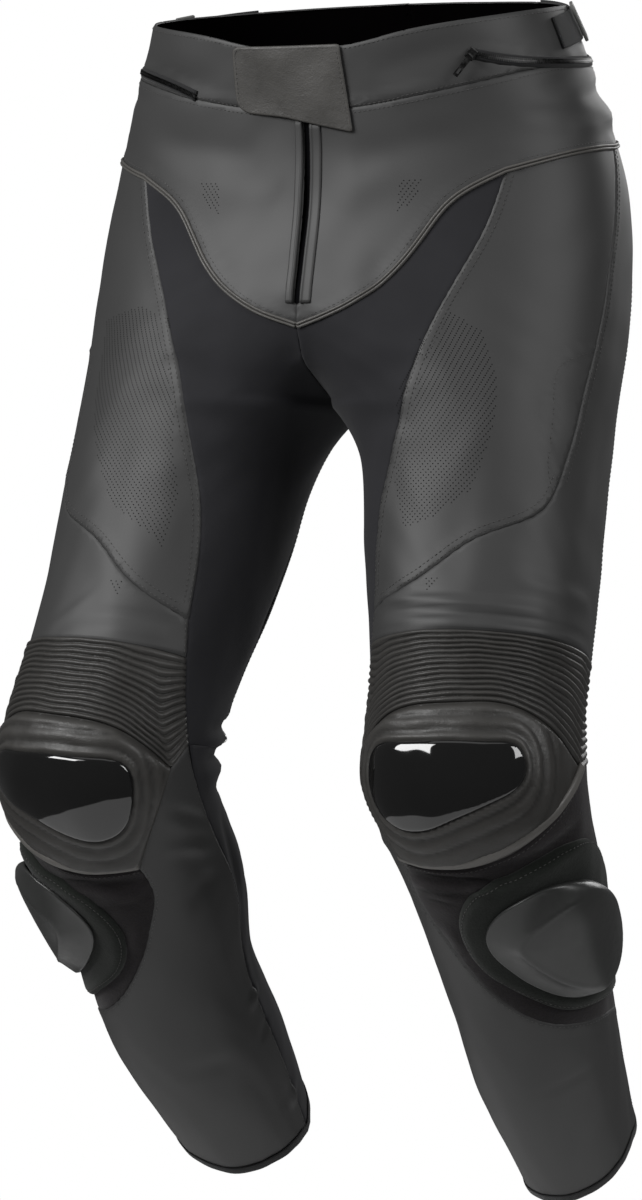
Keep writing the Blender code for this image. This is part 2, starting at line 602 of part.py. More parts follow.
def sweep(name, side, places, profile, kind, parts, closed=False):
    """A profile of (across, out) points in metres swept along places on the tube."""
    places = np.asarray(places, float)
    angle, level = places[:, 0], places[:, 1] * MM
    middle, normal = tube(angle, level), outward(angle, level)
    if closed:
        along = np.roll(middle, -1, axis=0) - np.roll(middle, 1, axis=0)
    else:
        along = np.gradient(middle, axis=0)
    along /= np.linalg.norm(along, axis=1, keepdims=True)
    across = np.cross(normal, along)
    rings = [middle + across * a + normal * o for a, o in profile]
    points = np.stack(rings, 1).reshape(-1, 3)
    width, count = len(profile), len(places)
    points[:, 0] = np.where((points[:, 0] < CENTRE_CLEARANCE) & (points[:, 2] < -30 * MM)
                            & (points[:, 2] > CROTCH_LEVEL), CENTRE_CLEARANCE, points[:, 0])
    faces = []
    for i in range(count if closed else count - 1):
        j = (i + 1) % count
        for k in range(width):
            m = (k + 1) % width
            faces.append((i * width + k, i * width + m, j * width + m, j * width + k))
    if not closed:
        faces.append(tuple(range(width)))
        faces.append(tuple(range((count - 1) * width, count * width))[::-1])
    return close_body(name, points, faces, kind, parts, side)


def rounded(corners, unit, steps=5):
    """An outline from (angle, level, radius) corners, each corner an arc of that radius."""
    flat = np.array([(a * unit, level) for a, level, _ in corners], float)
    done = []
    for i, (_, _, radius) in enumerate(corners):
        here, before, after = flat[i], flat[i - 1], flat[(i + 1) % len(flat)]
        back, on = before - here, after - here
        back /= np.linalg.norm(back)
        on /= np.linalg.norm(on)
        half = math.acos(np.clip(back @ on, -1, 1)) / 2
        start, end = here + back * radius / math.tan(half), here + on * radius / math.tan(half)
        centre = here + (back + on) / np.linalg.norm(back + on) * radius / math.sin(half)
        for t in np.linspace(0, 1, steps):
            spoke = (1 - t) * (start - centre) + t * (end - centre)
            done.append(centre + spoke / np.linalg.norm(spoke) * radius)
    return turned_left(np.array(done) / (unit, 1))


def filled_in(outline, longest):
    """The outline with its long sides divided, so that it can follow the curved surface."""
    done = []
    for a, b in zip(outline, np.roll(outline, -1, axis=0)):
        count = max(1, math.ceil(np.linalg.norm((b - a) * (LEG_SCALE, 1)) / longest))
        done += [a + (b - a) * k / count for k in range(count)]
    return np.array(done)


# ---- pieces ---------------------------------------------------------------------------------------
def plain_panels(side, tag, seams, parts):
    for name, panel in PANELS.items():
        outline = inset(outline_of(panel.seams, seams), GAP / 2)
        wall(f"{name}_{tag}", side, outline, panel.material, parts, panel.wall, base=-panel.wall,
             folded=True)


def level_of(seams, names, angles):
    """Level of a chain of seams at these angles."""
    chain = np.concatenate([seams[name] for name in names])
    order = np.argsort(chain[:, 0])
    return np.interp(angles, chain[order, 0], chain[order, 1])


def knee_ribs(side, tag, seams, parts):
    """The bellows panel above the knee: ribs raised in its outer points over a plain inside."""
    edge = 2 * RIBS
    angles = np.linspace(-80, 100, 19)
    low_seams = ["ribs_corner", "ribs_low", "ribs_tail"]
    top, low = level_of(seams, ["ribs_top"], angles), level_of(seams, low_seams, angles)
    inner_top, inner_low = seams["inner_ribs"][0], seams["inner_ribs"][-1]
    outline = inset(outline_of(["ribs_top", "ribs_side", "ribs_tail", "ribs_low", "ribs_corner",
                                "inner_ribs"], seams), GAP / 2)

    def drop_of(places):
        t = level_of(seams, ["ribs_top"], places[:, 0])
        b = level_of(seams, low_seams, places[:, 0])
        corner = np.clip((places[:, 0] - inner_top[0]) / (inner_low[0] - inner_top[0]), 0, 1)
        t = np.where(places[:, 0] < inner_top[0], inner_top[1] + corner * (inner_low[1] - inner_top[1]), t)
        return np.clip((t - places[:, 1]) / np.maximum(t - b, 1), 0, 1)

    def rib(places):
        return RIB_HEIGHT * np.sin(math.pi * RIBS * drop_of(places)) ** 2

    rows = [(a, t + (b - t) * k / edge) for k in range(1, edge) for a, t, b in zip(angles, top, low)]
    net = np.array(rows)
    within, away = inside(net * (LEG_SCALE, 1), outline * (LEG_SCALE, 1))
    net = net[within & (away > 1.2)]
    wall(f"knee_ribs_{tag}", side, outline, "leather", parts, RIBS_WALL, base=-RIBS_WALL, relief=rib,
         net=net)


def shell_distance(places):
    """Millimetres from each place to the hard shell's outline, 0 inside it."""
    outline = turned_left(smooth_through(SHELL_OUTLINE, closed=True, count=6)) * (KNEE_SCALE, 1)
    within, away = inside(places * (KNEE_SCALE, 1), outline)
    return np.where(within, 0, away)


def cup_relief(seams):
    """Height of the padded rolls: steps down from the shell, fading out at the cup's edge."""
    away, height = np.array(CUP_ROLLS).T
    edge = outline_of(["cup_left", "cup_low", "ribs_low"], seams)

    def raise_by(places):
        _, rim = inside(places * (KNEE_SCALE, 1), edge * (KNEE_SCALE, 1))
        fade = np.clip(rim / CUP_FADE, 0, 1)
        return np.interp(shell_distance(places), away, height) * MM * fade

    return raise_by


def knee_cup(side, tag, seams, parts):
    outline = inset(outline_of(["cup_left", "cup_low", "ribs_low"], seams), GAP / 2)
    shell = turned_left(smooth_through(SHELL_OUTLINE, closed=True, count=3))
    centre = shell.mean(0)
    rings = [centre + (shell - centre) * (1 + grow / 36) for grow in (2, 9, 11, 19, 21, 30)]
    net = np.concatenate(rings + [lattice(shell, 20 * MM, KNEE_SCALE)])
    within, away = inside(net * (KNEE_SCALE, 1), outline * (KNEE_SCALE, 1))
    net = net[within & (away > 3)]
    wall(f"knee_cup_{tag}", side, outline, "leather", parts, CUP_WALL, base=-CUP_WALL,
         relief=cup_relief(seams), net=net, unit=KNEE_SCALE)


def knee_shell(side, tag, parts):
    """The hard shell: a crowned plate seated on the cup."""
    outline = turned_left(smooth_through(SHELL_OUTLINE, closed=True, count=4))
    seat = CUP_ROLLS[0][1] * MM + GAP

    def crown(places):
        _, rim = inside(places * (KNEE_SCALE, 1), outline * (KNEE_SCALE, 1))
        return SHELL_CROWN * (1 - np.exp(-rim / SHELL_CROWN_REACH))

    wall(f"knee_shell_{tag}", side, outline, "shell", parts, SHELL_THICK, base=seat, relief=crown,
         step=11 * MM, lining=20 * MM, unit=KNEE_SCALE)


def slider_pad(side, tag, parts):
    outline = filled_in(turned_left(smooth_through(PAD_OUTLINE, closed=True, count=3)), 12)

    def crown(places):
        _, rim = inside(places * (SLIDER_SCALE, 1), outline * (SLIDER_SCALE, 1))
        return -PAD_EDGE_DROP * np.exp(-rim / PAD_EDGE_REACH)

    wall(f"slider_pad_{tag}", side, outline, "patch", parts, PAD_THICK, base=PAD_SEAT, relief=crown,
         step=15 * MM, lining=15 * MM, unit=SLIDER_SCALE)


def knee_slider(side, tag, parts):
    """The hard puck: rings of one egg-shaped outline drawn in as they rise."""
    turn = np.linspace(0, 2 * math.pi, PUCK_SIDES, endpoint=False)
    egg = 1 + PUCK_SWELL * np.cos(turn - PUCK_SWELL_AT)
    shape = np.stack([np.cos(turn), np.sin(turn)], -1)
    shape = np.sign(shape) * np.abs(shape) ** PUCK_SQUARE * egg[:, None] * PUCK_REACH
    base = PAD_SEAT + PAD_THICK + SEAT
    middle = np.array([PUCK_CENTRE], float) - (0, PUCK_LAG * KNEE_SLIDE[side])
    rings = [surface(middle + shape * grow, base + height * MM, side) for grow, height in PUCK_RINGS]
    top = surface(middle, base + PUCK_TOP * MM, side)
    under = [surface(middle + shape * grow, np.full(PUCK_SIDES, base), side) for grow in PUCK_FOOT]
    foot = surface(middle, base, side)
    points = np.concatenate([*rings, *under, top, foot])
    faces = []
    foot_rings = range(len(rings) + len(under) - 1, len(rings) - 1, -1)
    stack = [*foot_rings, *range(len(rings))]
    for low, high in zip(stack, stack[1:]):
        for k in range(PUCK_SIDES):
            m = (k + 1) % PUCK_SIDES
            faces.append((low * PUCK_SIDES + k, low * PUCK_SIDES + m, high * PUCK_SIDES + m,
                          high * PUCK_SIDES + k))
    top_ring, foot_ring = (len(rings) - 1) * PUCK_SIDES, stack[0] * PUCK_SIDES
    for k in range(PUCK_SIDES):
        m = (k + 1) % PUCK_SIDES
        faces.append((top_ring + k, top_ring + m, len(points) - 2))
        faces.append((foot_ring + m, foot_ring + k, len(points) - 1))
    close_body(f"knee_slider_{tag}", points, faces, "puck", parts, side)


def half_round(width, height, base, steps=5):
    """Profile of a piping: a flat foot and a round back."""
    turn = np.linspace(0, math.pi, steps)
    back = [(-width / 2 * math.cos(t), base + height * math.sin(t)) for t in turn]
    return back[::-1]


def flat_band(width, thick, base):
    return [(-width / 2, base), (width / 2, base), (width / 2, base + thick), (-width / 2, base + thick)]


def yoke_piping(side, tag, seams, parts):
    path = np.concatenate([seams["yoke_curve"], seams["yoke_edge"][1:], seams["yoke_end"][1:]])
    sweep(f"yoke_piping_{tag}", side, path,
          half_round(PIPING_WIDTH, PIPING_HEIGHT, LAID), "leather", parts)


def hem_binding(side, tag, seams, parts):
    """Binding folded over the hem, which it meets edge to edge."""
    path = np.concatenate([seams["hem_front"], seams["hem_rear"][1:-1]])
    out, back = HEM_BINDING_OUT, -LEATHER_WALL - HEM_BINDING_OUT
    top, low = -GAP / 2, -HEM_BINDING_WIDTH
    fold = [(top, back), (top, out), (low + out, out), (low, 0), (low, back + out), (low + out, back)]
    sweep(f"hem_binding_{tag}", side, path, fold, "binding", parts, closed=True)


def middle_grid(name, columns, levels, base, thick, kind, parts):
    """A strip near the centre front: columns are distances from the middle plane, minus = right."""
    points = []
    for out in (base + thick, base):
        for level in levels:
            for x in columns:
                place = np.array([(angle_at(max(abs(x), CENTRE_CLEARANCE), level), level)])
                point = surface(place, np.array([out]))[0]
                points.append((math.copysign(point[0], x) if x else 0.0, point[1], point[2]))
    wide, tall = len(columns), len(levels)
    sheet = wide * tall
    faces = []
    for i in range(tall - 1):
        for k in range(wide - 1):
            quad = (i * wide + k, i * wide + k + 1, (i + 1) * wide + k + 1, (i + 1) * wide + k)
            faces += [quad, tuple(v + sheet for v in quad[::-1])]
    rim = ([(0, k) for k in range(wide)] + [(i, wide - 1) for i in range(1, tall)]
           + [(tall - 1, k) for k in range(wide - 2, -1, -1)] + [(i, 0) for i in range(tall - 2, 0, -1)])
    ids = [i * wide + k for i, k in rim]
    faces += [(a, b, b + sheet, a + sheet) for a, b in zip(ids, ids[1:] + ids[:1])]
    return close_body(name, points, faces, kind, parts)


def fly(parts):
    """The strips along both lips of the slit and the underlap behind it."""
    levels = np.linspace(FLY_TOP - 20, FLY_BOTTOM, 13)
    near, far = FLY_LEFT_STRIP
    middle_grid("fly_strip_left", [near, (near + far) / 2, far], levels, GAP, FLY_STRIP_THICK, "leather",
                parts)
    near, far = FLY_RIGHT_STRIP
    middle_grid("fly_strip_right", [-far, -(near + far) / 2, -near], levels, GAP, FLY_STRIP_THICK,
                "leather", parts)
    half = UNDERLAP_HALF_WIDTH
    levels = np.linspace(FLY_TOP - 4, FLY_BOTTOM - 5, 14)
    middle_grid("fly_underlap", [-half, -half / 2, 0, half / 2, half], levels,
                -LEATHER_WALL - UNDERLAP_BACK - STRETCH_WALL, STRETCH_WALL, "stretch", parts)


def closure_tab(parts):
    outline = filled_in(rounded(TAB_CORNERS, WAIST_SCALE), 12)
    wall("closure_tab", 1, outline, "leather", parts, TAB_THICK, base=LAID, step=14 * MM,
         lining=14 * MM, unit=WAIST_SCALE)


def hip_adjuster(side, tag, parts):
    """The strap that takes in the waist, and the loop it runs through."""
    low, high = STRAP_LEVELS
    first, last = STRAP_ANGLES
    strap = filled_in(turned_left(np.array([(first, low), (last, low), (last, high), (first, high)],
                                           float)), 12)
    wall(f"hip_strap_{tag}", side, strap, "stretch", parts, STRAP_THICK, base=SEAT,
         step=12 * MM, lining=12 * MM, unit=HIP_SCALE)
    (a0, a1), (l0, l1) = LOOP_ANGLES, LOOP_LEVELS
    centre = np.array([((a0 + a1) / 2, (l0 + l1) / 2)])
    here, normal = surface(centre)[0], outward(centre[:, 0], centre[:, 1] * MM)[0]
    up = Vector(surface(centre + (0, 1))[0] - surface(centre - (0, 1))[0]).normalized()
    normal = (Vector(normal) - up * up.dot(Vector(normal))).normalized()
    along = up.cross(normal).normalized()
    wide = np.linalg.norm(surface(centre + ((a1 - a0) / 2, 0)) - surface(centre - ((a1 - a0) / 2, 0)))
    tall = (l1 - l0) * MM
    bm = bmesh.new()
    outer = [(-wide / 2, -tall / 2), (wide / 2, -tall / 2), (wide / 2, tall / 2), (-wide / 2, tall / 2)]
    bar = LOOP_BAR
    inner = [(x - math.copysign(bar, x), y - math.copysign(bar, y)) for x, y in outer]
    base = SEAT + STRAP_THICK + LOOP_CLEARANCE
    layers = []
    for out in (base, base + LOOP_THICK):
        for ring in (outer, inner):
            layers.append([bm.verts.new(Vector(here) + along * x + up * y + normal * out) for x, y in ring])
    for a, b in ((0, 1), (1, 3), (3, 2), (2, 0)):
        for k in range(4):
            m = (k + 1) % 4
            bm.faces.new((layers[a][k], layers[a][m], layers[b][m], layers[b][k]))
    bmesh.ops.transform(bm, matrix=Matrix.Diagonal((side, 1, 1, 1)), verts=bm.verts)
    add_object(f"hip_loop_{tag}", bm, "loop", parts)


def zip_path():
    return evenly(smooth_through([*ZIP_LEFT, *ZIP_RIGHT]), SEAM_STEP)


def zip_tape(parts):
    profile = flat_band(ZIP_TAPE_WIDTH, ZIP_TAPE_THICK, ZIP_SEAT)
    sweep("zip_tape", 1, zip_path(), profile, "binding", parts)


def zip_frame():
    """The place of the zip slider, as a matrix from its own axes."""
    here, below = np.array([SLIDER_AT], float), np.array([PULL_TOWARDS], float)
    place = Vector(surface(here)[0])
    normal = Vector(outward(here[:, 0], here[:, 1] * MM)[0])
    along = place - Vector(surface(below)[0])
    along = (along - normal * along.dot(normal)).normalized()
    across = normal.cross(along)
    frame = Matrix((along, across, normal)).transposed().to_4x4()
    frame.translation = place + normal * (ZIP_SEAT + ZIP_TAPE_THICK + GAP)
    return frame


def box(bm, size, centre):
    made = bmesh.ops.create_cube(bm, size=1)["verts"]
    bmesh.ops.scale(bm, vec=size, verts=made)
    bmesh.ops.translate(bm, vec=centre, verts=made)


def rod(bm, radius, length, centre, sides=16):
    turn = Matrix.Translation(centre) @ Matrix.Rotation(math.pi / 2, 4, "X")
    bmesh.ops.create_cone(bm, cap_ends=True, segments=sides, radius1=radius, radius2=radius, depth=length,
                          matrix=turn)


def helper(name, build, cutters):
    """A hidden mesh for a Boolean."""
    bm = bmesh.new()
    build(bm)
    mesh = bpy.data.meshes.new(name)
    bm.to_mesh(mesh)
    bm.free()
    made = bpy.data.objects.new(name, mesh)
    made.hide_render = True
    made.display_type = "WIRE"
    cutters.objects.link(made)
    return made


def join(target, other, operation):
    boolean = target.modifiers.new(other.name, "BOOLEAN")
    boolean.operation = operation
    boolean.solver = "EXACT"
    boolean.object = other


def zip_hardware(parts, cutters):
    """The slider body with two lugs and a pin, and the pull that hangs on the pin."""
    frame = zip_frame()
    length, width, height = SLIDER_SIZE
    hinge = Vector((-length / 4, 0, height + HINGE_HEIGHT))

    def body(bm):
        box(bm, SLIDER_SIZE, (0, 0, height / 2))

    bm = bmesh.new()
    body(bm)
    bmesh.ops.bevel(bm, geom=bm.edges[:], offset=SLIDER_ROUND, segments=2, affect="EDGES",
                    profile=0.5, material=-1)
    slider = add_object("zip_slider", bm, "metal", parts)
    slider.matrix_world = frame
    for sign in (-1, 1):
        place = (hinge.x, sign * (width / 2 - LUG_SIZE[1] / 2 - LUG_INSET), height + LUG_RISE)
        lug = helper(f"lug_{sign}", lambda bm: box(bm, LUG_SIZE, place), cutters)
        lug.matrix_world = frame
        join(slider, lug, "UNION")
    pin = helper("pin", lambda bm: rod(bm, PIN_RADIUS, PIN_LENGTH, hinge), cutters)
    pin.matrix_world = frame
    join(slider, pin, "UNION")

    bm = bmesh.new()
    rod(bm, EYE_RADIUS, PULL_SIZE[1], (0, 0, 0), sides=20)
    pull = add_object("zip_pull", bm, "metal", parts)
    pull.matrix_world = frame @ Matrix.Translation(hinge)
    middle = (-PULL_SIZE[0] / 2 - PULL_START, 0, 0)
    blade = helper("blade", lambda bm: box(bm, PULL_SIZE, middle), cutters)
    eye = helper("eye", lambda bm: rod(bm, PIN_RADIUS + EYE_CLEARANCE, width, (0, 0, 0)), cutters)
    hole = helper("hole", lambda bm: box(bm, PULL_HOLE, (-PULL_HOLE_AT, 0, 0)), cutters)
    for other, operation in ((blade, "UNION"), (eye, "DIFFERENCE"), (hole, "DIFFERENCE")):
        other.matrix_world = pull.matrix_world
        join(pull, other, operation)


def main():
    for found in list(bpy.data.objects):
        bpy.data.objects.remove(found, do_unlink=True)
    parts = bpy.data.collections.new("motorcycle_trousers")
    cutters = bpy.data.collections.new("cutters")
    bpy.context.scene.collection.children.link(parts)
    bpy.context.scene.collection.children.link(cutters)
    cutters.hide_render = True
    seams = seam_rows()
    for side, tag in ((1, "left"), (-1, "right")):
        plain_panels(side, tag, seams, parts)
        knee_ribs(side, tag, seams, parts)
        knee_cup(side, tag, seams, parts)
        knee_shell(side, tag, parts)
        slider_pad(side, tag, parts)
        knee_slider(side, tag, parts)
        yoke_piping(side, tag, seams, parts)
        hem_binding(side, tag, seams, parts)
        hip_adjuster(side, tag, parts)
    closure_tab(parts)
    fly(parts)
    zip_tape(parts)
    zip_hardware(parts, cutters)


main()
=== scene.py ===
"""Motorcycle trousers in leather and stretch cloth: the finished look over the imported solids.

A leg is one tapering tube of level sections.  A cut piece is drawn flat as the outline between its
seams, inset along its edges, gridded, and then wrapped onto the tube with its creases, stitched edges
and padding.  Places on the tube are (angle, level): degrees round the leg, 0 at the front and 90 at
the outer side, and millimetres of height.  The wearer's left is modelled and the right is mirrored.
"""

import math
from collections import namedtuple

import bmesh
import bpy
import numpy as np
from bpy.props import FloatProperty, FloatVectorProperty, IntProperty, PointerProperty
from mathutils import Matrix, Vector


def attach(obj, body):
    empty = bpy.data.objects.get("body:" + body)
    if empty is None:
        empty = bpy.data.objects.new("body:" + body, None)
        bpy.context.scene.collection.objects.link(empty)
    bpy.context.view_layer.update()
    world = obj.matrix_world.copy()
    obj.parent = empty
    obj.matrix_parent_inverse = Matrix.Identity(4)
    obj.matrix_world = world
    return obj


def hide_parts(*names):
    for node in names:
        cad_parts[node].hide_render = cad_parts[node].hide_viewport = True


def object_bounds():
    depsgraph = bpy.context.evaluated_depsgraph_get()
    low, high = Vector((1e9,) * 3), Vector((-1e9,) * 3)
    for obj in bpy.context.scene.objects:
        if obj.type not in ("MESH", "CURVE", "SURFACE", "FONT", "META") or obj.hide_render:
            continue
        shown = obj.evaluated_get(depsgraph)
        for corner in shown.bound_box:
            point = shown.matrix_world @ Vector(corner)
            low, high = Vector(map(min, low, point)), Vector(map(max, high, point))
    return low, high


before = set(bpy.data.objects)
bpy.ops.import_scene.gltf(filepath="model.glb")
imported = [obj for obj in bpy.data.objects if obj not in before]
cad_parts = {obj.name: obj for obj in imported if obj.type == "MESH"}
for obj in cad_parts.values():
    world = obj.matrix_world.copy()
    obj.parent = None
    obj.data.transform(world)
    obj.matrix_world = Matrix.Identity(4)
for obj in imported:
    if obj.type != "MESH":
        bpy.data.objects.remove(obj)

bl_info = {
    "name": "Motorcycle Trousers",
    "version": (1, 0, 0),
    "blender": (4, 5, 0),
    "location": "3D View > Sidebar > Trousers",
    "description": "Sews the pieces of a pair of motorcycle trousers",
    "category": "Add Mesh",
}

CAD_BOX = [list(corner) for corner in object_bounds()]
MM = 0.001
LEFT, RIGHT, BOTH = 1, -1, 0
SIDES = ((LEFT, "left"), (RIGHT, "right"))
BODY = "trousers"

CROTCH_LEVEL = -246 * MM
CROTCH_RISE = 100 * MM
CROTCH_SOFTNESS = 13 * MM      # radius that rounds the fold at the middle plane
RISE_FADES = 25 * MM, 30 * MM  # over which that rounding comes in above the crotch, and goes again
BODY_LEVELS = CROTCH_LEVEL - 12 * MM, -30 * MM   # where the two sides may meet at the middle plane
CENTRE_CLEARANCE = 0.1 * MM
CREST_GAIN = 2.4               # how strongly the painted shade in a groove and the painted highlight on a ridge show in a material

# Level, centre x and y, half widths outwards, inwards, to the front and back, squareness, pitch and
# yaw: millimetres and degrees; pitch raises the back edge, yaw turns the front outwards
SECTIONS = [
    (50, 0, -12, 175, 175, 113, 109, 2.35, 13, 0),
    (-25, 0, 0, 200, 200, 115, 121, 2.35, 10, 0),
    (-100, 14, 0, 203, 203, 120, 138, 2.35, 5, 1),
    (-175, 56, -16, 166, 166, 118, 140, 2.30, 0, 3),
    (-260, 116, -41, 105, 106, 103, 108, 2.30, -6, 5),
    (-340, 132, -71, 92, 92, 91, 92, 2.25, -14, 7),
    (-420, 143, -103, 87, 87, 84, 84, 2.20, -18, 9),
    (-480, 152, -133, 82, 82, 82, 82, 2.20, -14, 10),
    (-540, 157, -145, 84, 84, 82, 82, 2.20, 0, 11),
    (-595, 159, -106, 76, 76, 81, 81, 2.20, 14, 12),
    (-650, 156, -63, 69, 69, 74, 74, 2.20, 28, 12),
    (-720, 158, -24, 62, 62, 72, 72, 2.20, 35, 12),
    (-785, 153, 29, 57, 57, 69, 69, 2.20, 36, 12),
    (-840, 151, 80, 51, 51, 62, 62, 2.20, 36, 12),
]

FLY_SLIT = 5.4                 # millimetres
FLY_TOP, FLY_BOTTOM = 5, -165
YOKE_TIP, BACK_FORK = -185, -200

JUNCTIONS = {  # angle and level of the corners where seams meet
    "rim_front": (0, 57), "rim_back": (180, 57),
    "waist_side": (106, 14), "waist_back": (180, 8),
    "yoke_inner": (60, -52), "yoke_outer": (95, -46), "yoke_side": (106, -47),
    "thigh_outer": (51, -313), "thigh_inner": (-57, -420),
    "ribs_top_inner": (-64, -443), "ribs_top_outer": (106, -443),
    "ribs_low_inner": (-84, -500), "ribs_low_outer": (104, -519),
    "cup_inner": (-72, -517), "cup_outer": (81, -525),
    "patch_inner": (-43, -583), "patch_outer": (104, -735),
    "hollow_inner": (232, -500),
    "hem_inner": (-110, -871), "hem_outer": (104, -840),
}
SEAMS = {  # from a junction, through these places, to a junction
    "rim": ("rim_front", [(20, 58), (38, 66), (55, 70), (75, 69), (105, 61), (140, 57)], "rim_back"),
    "waist_front": ("fly_corner", [(20, 7), (36, 12), (55, 20), (76, 26)], "waist_side"),
    "waist_rear": ("waist_side", [(140, 9)], "waist_back"),
    "yoke_curve": ("yoke_tip", [(-14, -173), (0, -161), (12, -148), (26, -126), (37, -100), (48, -71)],
                   "yoke_inner"),
    "yoke_edge": ("yoke_inner", [(77, -43)], "yoke_outer"),
    "yoke_end": ("yoke_outer", [], "yoke_side"),
    "side_top": ("waist_side", [], "yoke_side"),
    "inner_thigh": ("yoke_inner", [(51, -103), (37, -147), (16, -192), (-13, -247), (-30, -293),
                                   (-44, -345)], "thigh_inner"),
    "inner_low": ("thigh_inner", [], "ribs_top_inner"),
    "inner_ribs": ("ribs_top_inner", [], "ribs_low_inner"),
    "inner_shin": ("ribs_low_inner", [(-95, -540), (-103, -590), (-108, -640), (-110, -720)], "hem_inner"),
    "outer_thigh": ("yoke_outer", [(84, -123), (76, -189), (64, -248)], "thigh_outer"),
    "thigh_slant": ("thigh_outer", [(43, -340), (10, -370), (-18, -399), (-40, -413)], "thigh_inner"),
    "side_back": ("yoke_side", [(109, -150), (110, -300)], "ribs_top_outer"),
    "ribs_top": ("ribs_top_inner", [(-21, -441), (22, -441), (60, -441)], "ribs_top_outer"),
    "ribs_side": ("ribs_top_outer", [], "ribs_low_outer"),
    "ribs_corner": ("ribs_low_inner", [], "cup_inner"),
    "ribs_low": ("cup_inner", [(-40, -494), (0, -488), (28, -488), (49, -497), (67, -512)],
                 "cup_outer"),
    "ribs_tail": ("cup_outer", [], "ribs_low_outer"),
    "cup_left": ("cup_inner", [(-61, -549)], "patch_inner"),
    "cup_low": ("patch_inner", [(-12, -583), (10, -578), (34, -566), (66, -542)], "cup_outer"),
    "patch_low": ("patch_inner", [(-45, -602), (-38, -618), (-28, -636), (-14, -657), (0, -674),
                                  (18, -688), (42, -700), (70, -714)], "patch_outer"),
    "patch_side": ("ribs_low_outer", [(105, -620)], "patch_outer"),
    "shin_side": ("patch_outer", [], "hem_outer"),
    "hollow_outer": ("ribs_low_outer", [(150, -499), (190, -497)], "hollow_inner"),
    "hollow_end": ("hollow_inner", [], "ribs_low_inner"),
    "back_inner": ("back_fork", [(228, -250), (236, -310), (237, -400)], "hollow_inner"),
    "hem_front": ("hem_inner", [(-90, -869), (-45, -863), (0, -851), (45, -838), (80, -837)], "hem_outer"),
    "hem_rear": ("hem_outer", [(140, -843), (200, -855)], "hem_inner"),
}
GUSSET = [(74, -202), (56, -217), (49, -247), (45, -275), (43, -307), (45, -326)]
PATCH_JOIN = [(-42, -606), (-24, -604), (-8, -603)]
SEAM_LAP = 0.5                 # millimetres that a cut piece reaches past its seam line
ZIP_FOLD = 5.6                 # millimetres from the zip's middle to the folded edges beside it

# A cut piece: its seams in order, its cloth, the seams where its edge lies on top and is sewn down,
# and the narrow welts on it, each list as words
Cut = namedtuple("Cut", "seams cloth lapped welts", defaults=[""])
CUTS = {
    "waistband": Cut("rim back_band waist_rear waist_front front_band", "leather",
                     "waist_front waist_rear",
                     "zip_left_over zip_left_under zip_right_over zip_right_under"),
    "front_yoke": Cut("waist_front side_top yoke_end yoke_edge yoke_curve fly_edge", "leather",
                      "yoke_curve yoke_edge yoke_end"),
    "inner_stretch": Cut("yoke_curve inner_thigh inner_low inner_ribs hollow_end back_inner crotch",
                         "stretch", ""),
    "thigh_front": Cut("yoke_edge outer_thigh thigh_slant inner_thigh", "leather",
                       "inner_thigh thigh_slant", "gusset"),
    "thigh_side": Cut("yoke_end side_back ribs_top inner_low thigh_slant outer_thigh", "leather",
                      "outer_thigh inner_low"),
    "back_panel": Cut("waist_rear centre_back back_inner hollow_outer ribs_side side_back side_top",
                      "leather", "side_back back_inner centre_back"),
    "slider_patch": Cut("cup_low ribs_tail patch_side patch_low", "loop", "", "patch_join"),
    "shin": Cut("ribs_corner cup_left patch_low shin_side hem_front inner_shin", "leather",
                "inner_shin patch_low shin_side"),
    "calf": Cut("hollow_outer hollow_end inner_shin hem_rear shin_side patch_side", "stretch", ""),
}
